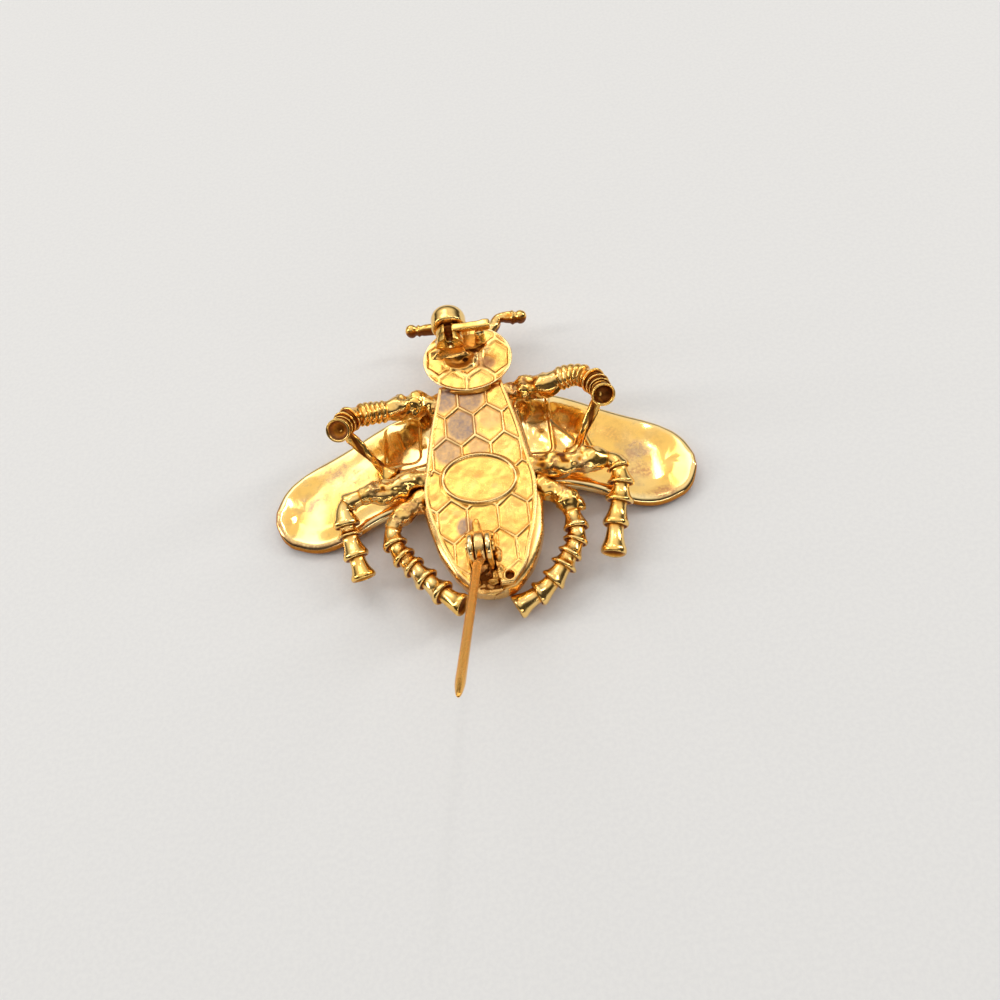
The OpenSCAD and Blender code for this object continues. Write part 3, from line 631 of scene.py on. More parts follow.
def head():
    c, d = circle(220)
    k = concatenate([linspace(0, 0.98, 94), 1 - 0.02 * cos(linspace(0, pi / 2, 7))[1:]])[::-1, None]
    gx, gy = c * HEAD_W / 2, d * HEAD_LEN / 2
    x, y = k * gx, k * gy
    flat = xyz(x, y, 0)
    rim_far = (1 - k) * hypot(gx, gy)
    edge = comb(x, y, 0)[0] + lumps(flat, 1.6, 41) * 0.09
    field = ramp(0.1, 0.45, rim_far)
    sunk = ramp(0.12, 0.42, edge) * field
    line = ridge(edge - 0.3, 0.12) * field
    z = HEAD_TOP - 0.14 * sunk - 0.04 * line + lumps(flat, 1.3, 42) * 0.06 + lumps(flat, 3.6, 43) * 0.05
    pool = hypot((x + 1) / 1.2, y + 0.05)
    angle = np.arctan2(y + 0.05, x + 1)
    swirl = sin(angle * 2 + pool * 3.4 + 1.5 * lumps(flat, 1.2, 44))
    pooled = ramp(1.9, 1.45, pool)
    z = z * (1 - pooled) + pooled * (HEAD_TOP - 0.42 * ramp(1.6, 0.3, pool) + 0.05 * swirl
                                     + 0.04 * lumps(flat, 0.7, 45))
    hole = hypot(x + 0.3, y)
    z = z + 0.14 * ridge(pool - 1.7, 0.2) * ramp(1.2, -1.2, y) - 0.45 * ramp(0.42, 0.12, hole)
    blobs = np.zeros_like(x)
    for bx, by, size, tall in ((0.95, -0.2, 0.45, 0.3), (1.3, 0.6, 0.45, 0.24), (0.5, -1.2, 0.4, 0.18),
                               (2.3, 1.2, 0.5, 0.22)):
        blobs = blobs + tall * ridge(hypot(x - bx, y - by), size)
    z = z + blobs - 0.08 * (1 - sqrt(1 - ((k - 0.98) / 0.02).clip(0, 1) ** 2))
    dark_cell = ramp(1.5, 0.9, hypot(x - 2.4, (y + 0.9) / 0.8))
    worn = (ramp(0.93, 1, k) * 0.8 + ramp(0.2, 0.02, edge) * field * 0.35 + blobs * 3
            + ramp(0.35, 0.1, rim_far) * 0.4)
    # Painted shade with some patina along the cell lines, in the solder pool and in its hole
    groove = 0.16 * line * (1 - pooled) + pooled * (0.5 + 0.2 * swirl) + ramp(0.5, 0.15, hole) * 0.9
    disc = surface(xyz(x, y, z), True, groove=groove, stain=dark_cell * 0.55 * sunk, rust=dark_cell * 0.6,
                   worn=clip(worn, 0, 1) * (1 - pooled * 0.6))
    rows = [xyz(gx * wide, gy * wide, z[0] + (7.08 - z[0]) * level) for level, wide in
            ((1, 0.7), (1, 0.88), (0.85, 0.9), (0.5, 0.94), (0.12, 0.994), (0.06, 1), (0, 1))]
    # Painted shade on the disc's side, darkest underneath
    side = surface(array(rows), True, groove=array([0.8, 0.5, 0.3, 0.1, 0, 0, 0])[:, None])
    s = (0.02 + linspace(0, 1, 60) * 0.91)[:, None]
    size = reading(HEAD, 1, s) - 0.12 * ramp(0.5, 0.85, s)
    bulb = capped(xyz(gx * size, gy * size + 0.13 * HEAD_LEN / 2, s * HEAD_TOP))[:-1]
    # Painted shade on the bulb's top, under the disc
    bulb = surface(bulb, True, groove=ramp(6.3, 7, bulb[..., 2]) * 0.3)
    form = disc + side + bulb.cast(2.4, 0.06, 47, ramp(0.2, 1, bulb.z), 0.2)
    x, y, z = form.points.T
    x, y = turned(x, y, -HEAD_TURN)
    form.points = xyz(x, y + HEAD_Y, z)
    return form + head_solder()


def head_solder():
    """Run of solder between the disc's lower edge and the plate"""
    a = np.radians(linspace(-118, -62, 30))
    path = xyz(cos(a) * HEAD_W * 0.485, sin(a) * HEAD_LEN * 0.485 + HEAD_Y, 7.02)
    reach = lengths_of(path)[-1]
    # Painted shade along the solder run under the disc
    rows = [[reach * s, 0.42 * sqrt(max(0.01, 1 - (2 * s - 1) ** 4)), 0.08, 0.42]
            for s in linspace(0.02, 0.98, 40)]
    return bar(path, closed(rows), 24, 51)


# Wings

# Patches of tarnish on the right and left wing: place, half width and length, share of red in it
TARNISH = [
    [(20.2, 4.4, 2.6, 1.6, 0.2), (18.6, 3.4, 1.8, 1.3, 0.5), (20.4, 1.4, 2.6, 1.4, 0.85),
     (22.4, -2.2, 2.2, 1, 0.8)],
    [(22.4, 2.4, 2.4, 1.4, 0.1), (19, 6.6, 2.8, 1.6, 0.3), (16.5, 5.2, 2.4, 1.5, 0.8),
     (23.2, 9, 1.8, 1.4, 0.5)]]
RIM_REACH = 3.2


def wing(left):
    reach, shift = WINGS[left]
    share = concatenate([linspace(0.2, 0.8, 90), 0.8 + 0.2 * sin(linspace(0, pi / 2, 60))[1:]])
    front, rear = (reading(WING, column, share) * WING_CHORD + shift for column in (1, 2))
    tip = linspace(rear[-1], front[-1], 14)[1:-1]
    outline = stack([concatenate([share * reach, reach + 0 * tip, share[::-1] * reach]),
                     concatenate([rear, tip, front[::-1]])], -1)
    where = lengths_of(outline)
    even = linspace(0, where[-1], 330)
    outline = stack([np.interp(even, where, outline[:, k]) for k in (0, 1)], -1)
    for _ in range(3):
        outline[1:-1] = (outline[:-2] + 2 * outline[1:-1] + outline[2:]) / 4
    s = outline[:, 0] / reach
    s = minimum(s, 0.86 + 0.02 * (s - 0.86))
    middle = stack([s * reach, (reading(WING, 1, s) + reading(WING, 2, s)) / 2 * WING_CHORD + shift], -1)
    span = norm(outline - middle)
    inset = concatenate([0.75 * (1 - cos(linspace(0, pi / 2, 10))), linspace(0.75, RIM_REACH, 22)[1:]])
    inward = concatenate([inset[:, None] + 0 * span,
                          RIM_REACH + (span - RIM_REACH) * linspace(0, 1, 26)[1:, None]])
    x, y = np.moveaxis(outline + (middle - outline) * (inward / span)[..., None], -1, 0)
    s = x / reach
    base = reading(WING, 3, s) * WING_ROOT_Z
    leading = ramp(0.46, 0.62, linspace(0, 1, len(outline)))
    crest = sqrt(1 - (1 - inward / 0.95).clip(0, 1) ** 2.2)
    flat = xyz(x, y, 0)
    top = base + WING_T * (0.45 + 0.55 * crest) - ramp(0.7, 3.6 + 0.9 * leading, inward) * 0.3
    top = top + lumps(flat, 5, 61 + left) * 0.035 * ramp(0.5, 2, inward)
    top = top + lumps(flat, 1.9, 63 + left) * 0.08 * ramp(0.5, 0.34, s) * ramp(0.8, 1.8, inward)
    worn = ramp(1.5, 0.5, inward) * 0.8
    # Painted shade on the outer rim of the rear edge
    groove = 0.75 * ramp(0.26, 0.1, inward) * (1 - leading) * ramp(0.45, 0.6, s)
    if left:
        hollow = ramp(0, 0.4, box_inside(x, y, 7.2, 12.2, 5.2, 12, 1.3))
        top = top - 0.1 * hollow + 0.2 * ridge(y - 4.2 + 0.06 * (x - 9), 0.35) * ramp(12.6, 11.8, x)
        # Painted shade, mottled, in the hollow at the root
        groove = groove + 0.15 * hollow * ramp(-0.2, 0.6, lumps(flat, 1.2, 65))
        worn = maximum(worn, 0.6 * ramp(13.5, 11.5, x))
    else:
        inside = box_inside(x, y, 5.6, 9.45, 4.4, 15, 1.1)
        hollow = ramp(-0.1, 0.22, inside)
        top = top - 0.24 * hollow + 0.12 * ridge(inside + 0.2, 0.2)
        # Painted shade along the hollow's step
        groove = groove + 0.7 * ridge(inside + 0.02, 0.14) * ramp(10.5, 8.5, y) + hollow * 0.1
        worn = maximum(worn, ramp(7.5, 9.5, y) * ramp(13.5, 11, x))
        for a, b in (((9.3, 9.6), (12.3, 6.2)), ((13.9, 7), (15.1, 3.2))):
            far, side = from_line(x, y, a, b)
            near = ramp(1.6, 0.2, abs(side)) * ramp(1, 0, far)
            top = top + 0.13 * ramp(0.18, -0.1, side) * near
            # Painted shade beside each step
            groove = groove + 0.55 * ridge(side - 0.12, 0.12) * ramp(0.5, 0, far)
    rust = ramp(0.2, 1, lumps(flat, 3.4, 67 + left, 3)) * ramp(1.6, 3.2, inward) * 0.4
    stain = ramp(0.2, 0.9, lumps(flat, 2.8, 71 + left, 3)) * ramp(1.5, 3, inward) * 0.35
    mottle = ramp(-0.5, 0.5, lumps(flat, 0.9, 75 + left, 3))
    for cx, cy, wide, deep, red in TARNISH[left]:
        patch = ramp(1.2, 0.5, hypot((x - cx) / wide, (y - cy) / deep)) * (0.3 + 0.6 * mottle)
        rust, stain = maximum(rust, patch * red), maximum(stain, patch * (1 - red))
    if left:
        bevel = ramp(1, 0.4, inward) * ramp(0.45, 0.25, leading) * ramp(0.5, 0.62, s)
        rust = maximum(rust, bevel * 0.8)
    upper = surface(xyz(x, y, top), groove=groove, worn=worn, rust=rust, stain=stain)
    picks = [0, 2, 4, 6, 8, 9, 12, 16, 20, 24, 31, 36, 41, 46, 51, len(x) - 1][::-1]
    lower_z = base + WING_T * 0.45 * (1 - sqrt(1 - (1 - minimum(inward, 1.1) / 1.1) ** 2))
    # Painted shade on the underside along the rear edge
    lower = surface(xyz(x, y, lower_z)[picks], groove=(1 - leading) * ramp(0.45, 0.6, s[0]) * 0.75)
    form = upper + lower
    form.points[:, 2] = maximum(form.z, 0.02)
    return form


def box_inside(x, y, x0, x1, y0, y1, corner):
    """Distance inside a rectangle with rounded corners, negative outside"""
    dx = abs(x - (x0 + x1) / 2) - (x1 - x0) / 2 + corner
    dy = abs(y - (y0 + y1) / 2) - (y1 - y0) / 2 + corner
    outside = hypot(maximum(dx, 0), maximum(dy, 0)) + minimum(maximum(dx, dy), 0)
    return corner - outside


def from_line(x, y, a, b):
    """How far a point lies past a line's ends, and its distance to the line's left"""
    a, b = array(a), array(b)
    length = norm(b - a)
    t = (b - a) / length
    s = (x - a[0]) * t[0] + (y - a[1]) * t[1]
    return maximum(-s, s - length).clip(0), -(x - a[0]) * t[1] + (y - a[1]) * t[0]


# Legs

def leg_path(table, root, reach):
    y = TAIL_Y + root[0] * PLATE_LEN
    z = root[1] * PLATE_TOP
    start = array([side_x(y, z) + LEG_WIDE * 0.22, y, z])
    return curve([start + array(p) * reach for p in table])


# One bell: share of its length, how far it has opened, painted shade with some patina in its neck and under
# its rim
BELL = [
    (0.02, 0.05, 0.75), (0.1, 0, 0.35), (0.22, 0.04, 0.1), (0.36, 0.14, 0), (0.5, 0.3, 0), (0.62, 0.5, 0),
    (0.72, 0.72, 0), (0.79, 0.9, 0), (0.84, 0.99, 0), (0.9, 1.03, 0), (0.96, 0.99, 0), (1, 0.88, 0.05),
    (1.02, 0.72, 0.3), (1, 0.52, 0.7), (0.97, 0.35, 1), (0.97, 0.12, 1)]


def trumpets(begin, finish, sizes, thin=LEG_THIN, wave=0.05):
    """Bells one after another, each opening round the neck of the next"""
    rows = []
    total = sum(length for length, _ in sizes)
    s = begin
    for length, wide in sizes:
        step = (finish - begin) * length / total
        flare = LEG_WIDE * wide - thin
        rows += [[s + at * step, thin + flare * part, wave * (0.4 + part), dark] for at, part, dark in BELL]
        s += step
    return rows


def wrinkles(begin, finish, count, low, high):
    """Soft rings close together, with painted shade in the valleys"""
    t = linspace(0, 1, count * 8 + 1)
    rise = abs(sin(pi * t * count)) ** 0.7
    return [[begin + (finish - begin) * a, low + (high - low) * b, 0.13, 0.6 * (1 - b)]
            for a, b in zip(t, rise)]


def thigh(length, bumps):
    """Lumpy thigh from inside the shell outwards. Bumps hold share of the length and of the radius."""
    table = [[-1.3 / length, 0.95], [0, 0.92], [0.01, 0.9]] + bumps
    s = linspace(table[0][0], table[-1][0], 56)
    return [[t * length, LEG_WIDE * radius, 0.12] for t, radius in zip(s, reading(table, 1, s))]


def open_foot(length, wide):
    """Open end of the last bell, with painted shade inside"""
    return [[length, wide * 0.9, 0.03, 0.1], [length - 0.05, wide * 0.78, 0.02, 0.6],
            [length - 0.35, wide * 0.6, 0, 1], [length - 0.5, wide * 0.4, 0, 1], [length - 0.55, 0, 0, 1]]


def front_leg(table, root, seat, left):
    """Leg with a cup at its foot, and the strut from the cup down to a seat on the wing"""
    path = leg_path(table, root, FRONT_REACH)
    length = lengths_of(path)[-1]
    rows = thigh(length, [[0.07, 0.9], [0.13, 1.12], [0.19, 0.86], [0.27, 1.12], [0.33, 0.98], [0.39, 0.82]])
    rows += wrinkles(length * 0.41, length * 0.64, 5, 1.28, 1.5)
    rows += trumpets(length * 0.645, length * 0.88, [(1.3, 1.08), (1, 1), (0.8, 0.92)], 1.14, 0.03)
    outer, wall, deep = 1.5, 0.3, 1.2
    # The cup, with painted shade inside it
    rows += [[length * 0.88, 1.08, 0.02, 0.5], [length * 0.92, 1.2, 0, 0.1], [length * 0.965, 1.38],
             [length - 0.15, outer, 0.02], [length - 0.04, outer * 0.985, 0.02], [length, outer * 0.95, 0.02],
             [length - 0.01, outer - wall * 0.7, 0.02], [length - 0.1, outer - wall, 0.01, 0.1],
             [length - 0.4, outer - wall - 0.08, 0, 0.25], [length - 0.75, outer * 0.6, 0, 0.5],
             [length - deep * 0.85, outer * 0.35, 0, 0.8], [length - deep * 0.9, 0, 0, 0.9]]
    leg = bar(path, [[rows[0][0], 0, 0, 1]] + rows, 64, 81 + left)
    fleshy = ramp(6.2, 4.2, norm(leg.points - path[0]))
    leg.cast(1.25, 0.27, 83 + left, fleshy, 0.9).cast(0.5, 0.08, 85 + left, fleshy, 0.5)
    leg.mark(rust=fleshy * ramp(-0.1, 0.5, lumps(leg.points, 1.8, 87 + left)) * 0.8)
    end = path[-1]
    aim = unit(end - path[-3])
    # Inside the cup: painted highlight on the side turned to (-1, -0.7, 0); in the right cup painted shade on
    # the other side, in the left cup a grey-violet stain
    across = leg.points - (end - aim * 0.55)
    inside = ramp(1.34, 1.2, norm(across)) * ramp(-0.9, -0.7, across @ aim)
    lit_side = ramp(0.3, 0.8, across @ unit(array([-1, -0.7, 0])))
    leg.mark(worn=inside * lit_side, **{"stain" if left else "groove": inside * (0.9 if left else 1 - lit_side)})
    # Painted shade on the leg's underside
    leg.shade_underside(0.15)
    seat = array([*seat, 3.505])
    top = end - aim * deep * 1.4
    reach = norm(top - seat)

    def twisted(s, angle):
        return 1 + 0.2 * cos(2 * (angle - 0.5 * s)) * ramp(0.3, 1.4, s)

    rows = [[-0.6, 1.5, 0.1, 0.2], [-0.2, 1.25, 0.12, 0.1], [0.1, 0.95, 0.12, 0.1], [0.5, 0.75, 0.06, 0.15]]
    rows += [[t, 0.6, 0.04, 0.05] for t in linspace(0.9, reach, 26)]
    strut = bar([seat, (seat + top) / 2, top], closed(rows), 40, 91 + left, twisted)
    # Painted shade along the strut's channel and a little all over
    channel = ramp(0.6, 0.52, norm(np.cross(strut.points - seat, unit(top - seat))))
    strut.mark(groove=channel * 0.95).cast(0.7, 0.07, 93 + left, 1, 0.4).mark(groove=0.2)
    return leg + strut


def spool_leg(table, root, reach, share, bumps, sizes, seed, craggy):
    """Thigh up to a share of the length, then bells down to an open foot"""
    path = leg_path(table, root, reach)
    length = lengths_of(path)[-1]
    rows = thigh(length, bumps)
    rows += trumpets(length * share, length, sizes)[:-3]
    rows += open_foot(length, LEG_WIDE * sizes[-1][1])
    leg = bar(path, [[rows[0][0], 0, 0, 1]] + rows, 56, seed)
    limit = length * share
    fleshy = ramp(limit * 1.05, limit * 0.75, norm(leg.points - path[0]))
    leg.cast(1.3, craggy, seed + 2, fleshy, 1).cast(0.5, 0.07, seed + 3, fleshy, 0.5)
    leg.mark(rust=fleshy * ramp(0, 0.6, lumps(leg.points, 2, seed + 4)) * 0.7)
    # Painted shade on the leg's underside
    return leg.cast(2, 0.05, seed + 5, 1 - fleshy, 0).shade_underside(0.5)


def spur():
    """Outer edge of the rear right thigh, which runs out to a point"""
    path = [(9.6, -2.1, 4.7), (11.1, -3.5, 4.7), (12.5, -5.1, 4.6)]
    rows = [[0, 0.8, 0.1], [0.9, 1.1, 0.12], [1.9, 1.1, 0.12], [2.8, 0.85, 0.08], [3.4, 0.5, 0.04],
            [3.8, 0.15]]
    return bar(path, closed(rows), 40, 205).cast(0.8, 0.12, 206, 1, 0.7)


# Antennae

def antenna(bend, left):
    ball = array(ANTENNA_TIP)
    r, ball_r = 0.66, 0.85
    root = array([HEAD_W * 0.2, ANTENNA_ROOT_Y, ball[2]])
    knee = array([ball[0] * bend[0], ball[1] + bend[1], ball[2]])
    path = curve([root + (root - knee) * 0.3, root, root + (knee - root) * 0.6, knee,
                  knee + (ball - knee) * 0.7, ball])
    length = lengths_of(path)[-1]
    rows = []
    for t in linspace(0, 1, 90):
        swell = 0.16 * ridge(t - 0.55, 0.1) + 0.1 * sin(t * 17 + left * 2)
        collar = 0.28 * ridge(t - 0.875, 0.022)
        rows.append([length * t, r * (1 + swell) + collar * 0.6, 0.08, 0.1 * (1 - collar)])
    rod = bar(path, closed(rows), 36, 101 + left).cast(0.8, 0.07, 103 + left, 1, 0.6)
    rows = [[ball_r * (1 - cos(a)), ball_r * sin(a), 0.015] for a in linspace(0.02, pi - 0.02, 40)]
    onward = unit(ball - knee) * ball_r
    end = lathe(ball - onward, onward * 2, closed(rows), 48, 105 + left)
    both = rod + end.cast(1.1, 0.04, 107 + left, 1, 0.3)
    both.points[:, 2] += minimum(both.z - ball[2], 0) * 0.45
    # Painted shade on the faces turned away from (0, 0.85, 0.53), the lower rear side
    return both.shade_underside(1, 0.1, (0, 0.85, 0.53))


# Hinge and pin

def ear(side):
    """Ear of the hinge: round over the rivet, straight down to the foot"""
    x = HINGE[0] + side * (EYE_W / 2 + EYE_GAP + EAR_T / 2)
    a = linspace(-pi / 2, 3 * pi / 2, 96, endpoint=False)
    c, d = cos(a), sin(a)
    oz = np.where(c < 0, -(PIN_Z - 5.3) * minimum(1, abs(c) * 3), c * EAR_R)
    oy = np.where(c < 0, np.sign(d) * EAR_R * minimum(1, abs(d) * 1.6), d * EAR_R)
    rows = []
    for across, inset in ((0.5, EAR_R), (0.5, 0.26), (0.46, 0.12), (0.36, 0.03), (0.2, 0), (-0.2, 0),
                          (-0.36, 0.03), (-0.46, 0.12), (-0.5, 0.26), (-0.5, EAR_R)):
        k = 1 - inset / EAR_R
        rows.append(xyz(x + across * EAR_T, HINGE[1] + oy * k, PIN_Z - 1.4 * (1 - k) + oz * k))
    form = surface(array(rows), True)
    form.cast(1.4, 0.05, 113 + side, ramp(PIN_Z + 1.8, PIN_Z - 1, form.z), 0.3)
    # Painted shade low on the ear, near the plate
    return form.mark(groove=ramp(7.6, 6.3, form.z) * 0.8, worn=ramp(10.3, 11.1, form.z))


def hinge_bracket():
    # Painted shade on the foot in the notch
    foot = block((HINGE[0], HINGE[1] + 1.6, 5.7), (3.2, 3.2, 0.66), 0.1, 0.28, 117, 0.03).mark(groove=0.9)
    return ear(-1) + ear(1) + foot


# Drops of solder round the ears, in the notch and beside it: place, size
SOLDER = [
    ((1.25, -8.6, 6.95), (0.42, 1.1, 0.3)), ((1.35, -10.4, 6.9), (0.5, 1, 0.35)),
    ((-0.4, -7.75, 7), (1.5, 0.7, 0.4)), ((-1.7, -7.4, 7), (0.7, 0.5, 0.28)),
    ((0.9, -12.4, 5.9), (0.6, 0.9, 0.6)), ((1.5, -12.2, 6.6), (0.5, 0.6, 0.5)),
    ((-2.1, -9.8, 6.9), (0.3, 1.6, 0.25)), ((0.5, -13, 5.6), (0.7, 0.5, 0.5)),
    ((-1.5, -12.9, 5.5), (0.5, 0.6, 0.5)), ((-0.9, -6.9, 6.96), (0.55, 1.5, 0.32))]


def solder_drop(centre, size, seed):
    """Frozen drop of solder with a crinkled skin"""
    c, d = circle(40)
    k = linspace(0, pi, 22)[:, None]
    form = surface(xyz(sin(k) * c, sin(k) * d, -cos(k)) * size + centre, True)
    form.cast(max(size) * 0.9, min(size) * 0.35, seed, 1, 0.7)
    return form.cast(0.45, 0.07, seed + 1, 1, 0.8).mark(groove=0.28)


def with_solder(form):
    for k, (centre, size) in enumerate(SOLDER):
        form = form + solder_drop(centre, size, 121 + 3 * k)
    return form


def hinge_rivet():
    long = 2 * (EYE_W / 2 + EYE_GAP + EAR_T + 0.3)
    # Painted shade where the rivet's heads meet the ears
    side = [[0, 0], [0, 0.35], [0, 0.5], [0.06, 0.6], [0.14, 0.64], [0.24, 0.64, 0, 0.2], [0.25, 0.4, 0, 0.9]]
    rows = side + [[long - s, *rest] for s, *rest in side[::-1]]
    return lathe(HINGE - [long / 2, 0, 0], (long, 0, 0), rows, 48, 131)


def pin_eye():
    """Round eye with softened edges, standing across the hinge"""
    bevel, hole = 0.16, 0.45
    rows = [[bevel * s, EYE_R - bevel * inset] for s, inset in ((0, 1), (0.12, 0.5), (0.45, 0.14), (1, 0))]
    rows += [[EYE_W - s, r] for s, r in rows[::-1]]
    # Painted shade in the eye's hole
    rows = [[0, hole, 0, 0.7]] + rows + [[EYE_W, hole, 0, 0.7]]
    return lathe(HINGE - [EYE_W / 2, 0, 0], (EYE_W, 0, 0), rows, 80, 111)


def pin_stem():
    wire_r, length, point = 0.95 / 2, 31, 2.4
    swing, skew = radians(138), radians(2.588)
    onward = array([-sin(skew), cos(skew) * cos(swing), cos(skew) * sin(swing)])
    shaft = length - point
    # Painted shade on the wire where it leaves the eye
    rows = [[0.3, 0], [0.3, 0.5, 0, 0.8], [1.5, 0.51, 0, 0.7], [2.4, 0.5, 0, 0.4], [3.1, 0.49, 0, 0.15],
            [3.75, wire_r]]
    rows += [[s, wire_r, 0.006] for s in linspace(4.2, shaft, 60)]
    rows += [[shaft + point * t, wire_r * r, 0.004] for t, r in
             ((0.1, 0.985), (0.25, 0.94), (0.4, 0.87), (0.55, 0.78), (0.7, 0.67), (0.82, 0.55), (0.92, 0.4),
              (0.98, 0.22))]
    outer = array([onward[0], -sin(swing), cos(swing)])
    path = [HINGE + onward * s + outer * 1.15 * ramp(5.5, 1, s) for s in linspace(0, length, 94)]
    return pin_eye().mark(worn=0.5) + bar(path, rows + [[length, 0]], 40, 135)


# Catch

def slotted(radius, ends, flats, seed, half):
    """Round slice of the catch with a slot from its top to its axis"""
    y0, y1 = ends
    tilt = np.arcsin(half / radius)
    t = linspace(0, 1, 150)
    a = pi / 2 + tilt + t * (2 * pi - 2 * tilt)
    facet = radius * (1 - 0.012 * (1 + cos(a * flats)))
    outer = stack([cos(a) * facet, sin(a) * facet], -1)
    down = radius * cos(tilt)
    bend = pi * half
    s = t * (2 * down + bend)
    turn = (s - down) / half
    sides = [s < down, s > down + bend]
    inner = stack([np.select(sides, [-half, half], -half * cos(turn)),
                   np.select(sides, [down - s, s - down - bend], -half * sin(turn)) * 0.985], -1)
    b, middle = 0.14, (y0 + y1) / 2
    k = b / radius
    corner = 1 - k * 0.35
    rows = []
    for share, y in ((0, y0), (k * 0.35, y0), (k, y0), (0.5, y0), (1 - k, y0), (1, y0 + b * 0.3), (1, y0 + b),
                     (1, middle), (1, y1 - b), (1, y1 - b * 0.3), (1 - k, y1), (0.5, y1), (k, y1),
                     (k * 0.3, y1), (0, y1 - b * 0.5), (0, middle), (0, y0 + b * 0.5)):
        shrink = corner if share == 1 and min(y - y0, y1 - y) < b * 0.5 else 1
        p = inner + (outer * shrink - inner) * share
        rows.append(xyz(CATCH_X + p[:, 0], y, PIN_Z + p[:, 1]))
    form = surface(capped(array(rows).transpose(1, 0, 2)), True)
    x, y, z = form.points.T
    depth = hypot(x - CATCH_X, z - PIN_Z)
    edge = ramp(0.16, 0.04, minimum(abs(y - y0), abs(y - y1))) * ramp(radius * 0.85, radius * 0.97, depth)
    # Inside the slot: painted highlight in place of its shade; painted shade at the slice's edges
    form.mark(worn=ramp(radius * 0.85, radius * 0.6, depth), groove=edge * 0.8)
    return form.cast(1.5, 0.03, seed, ramp(radius * 0.7, radius, depth), 0.1)


def catch_body():
    y0, y1 = RING_Y
    ring = slotted(1.85, RING_Y, 9, 141, 0.58)
    sunk_back = ramp(10.2, 8.4, ring.z) * ramp(y0 + 0.7, y0, ring.points[:, 1])
    ring.points[:, 1] += 0.6 * sunk_back
    # Painted shade on the ring's sunk lower front
    ring.mark(groove=0.38 * sunk_back)
    r = 2.28
    # The dome's face toward the roller gets painted shade
    rows = [[0, 0, 0, 1], [0, 1.1, 0, 1], [0, 1.5, 0, 0.6], [0.05, r - 0.16, 0, 0.2], [0.14, r - 0.04],
            [0.3, r], [0.9, r], [1.3, r * 0.99]]
    rows += [[1.268 + (r - 0.4) * sin(a), r * cos(a) ** 0.7] for a in linspace(0.12, pi / 2 - 0.01, 18)]
    dome = lathe((CATCH_X, DOME_Y, PIN_Z), (0, 3.213, 0), rows + [[0.868 + r, 0]], 72, 143)
    dome.cast(2.2, 0.035, 145, 1, 0).mark(worn=0.3)
    # Painted shadow of the lever on the base
    base = block((CATCH_X + 1.5, 20.15, 7.74), (5.4, 2.3, 0.4), 0.16, 0.75, 147, 0.1).mark(groove=0.6)
    c, d = (rounded(v, 0.5) for v in circle(56))
    skirt = array([xyz(CATCH_X + dx + wide * c, (y0 + y1) / 2 + 0.25 + thick * d, z) for z, wide, thick, dx in
                   ((7.5, 2.5, 0.75, -0.35), (7.72, 2.15, 0.6, -0.3), (8.1, 1.85, 0.42, -0.15),
                    (8.6, 1.6, 0.34, 0), (9, 1.45, 0.3, 0), (9.2, 1.3, 0.3, 0))])
    # Painted shade on the skirt and the rear block under the catch
    skirt = surface(skirt, True).cast(0.8, 0.08, 149, 1, 0.6).mark(groove=0.38)
    rear = block((CATCH_X, 21.6, 8.3), (2.6, 1, 1.5), 0.2, 0.28, 151, 0.08).mark(groove=0.5)
    lug = block((CATCH_X + 3.9, 19.95, 9.05), (1.2, 1.1, 2.85), 0.35, 0.6, 153, 0.22).mark(worn=0.4)
    dimple = hypot(lug.points[:, 0] - CATCH_X - 3.6, lug.z - 9.1)
    # Painted shade in the lug's dimple
    lug.mark(groove=ramp(0.5, 0.1, dimple) * 0.9)
    return ring + dome + base + skirt + rear + lug


def catch_roller():
    roller = slotted(1.75, ROLLER_Y, 8, 161, 0.5)
    # The hub, inside the slot, gets painted shade all over
    rows = [[0, 0, 0, 1], [0, 0.97, 0, 1], [2.6, 0.97, 0, 1], [2.6, 0, 0, 1]]
    hub = lathe((CATCH_X, 18.9, PIN_Z), (0, 2.6, 0), rows, 40, 1)
    hub.points[hub.points[:, 1] <= 20.6, 1] = 20.5
    y = sum(ROLLER_Y) / 2
    wide = (ROLLER_Y[1] - ROLLER_Y[0]) / 2 - 0.03
    path = curve([[CATCH_X + s, y, PIN_Z + z] for s, z in
                  ((0.55, 1.28), (1.6, 1.3), (2.8, 1.3), (4, 1.3), (5, 1.3))])

    def flat_sided(s, angle):
        grow = 0.88 + 0.2 * ramp(3.3, 4.2, s) + 0.1 * ramp(1.2, 0.2, s)
        thick = 0.46 + 0.08 * ramp(3.3, 4.2, s)
        return 1 / (abs(cos(angle) / (wide * grow)) ** 4 + abs(sin(angle) / thick) ** 4) ** 0.25

    rows = [[s, 1, 0.015] for s in linspace(0, 4.45, 30)]
    rows += [[4.45 + 0.45 * sin(a), max(0.02, cos(a)) ** 0.6, 0.01] for a in linspace(0.2, pi / 2, 9)]
    lever = bar(path, closed(rows), 48, 163, flat_sided).cast(1.3, 0.03, 165, 1, 0.1)
    # Painted shade on the lever's face toward the ring
    lever.mark(groove=ramp(-0.7, -0.95, (lever.points[:, 1] - y) / wide) * 0.5)
    return roller + hub + lever


# Floor and light

def floor_finish():
    f = Finish("pale_card")
    grain = f.noise(0.5, 2)
    colour = f.mix((0.8, 0.8, 0.8, 1), (0.83, 0.83, 0.825, 1), grain.step(0.3, 0.7))
    return f.shaded({"Base Color": colour, "Roughness": 0.7})


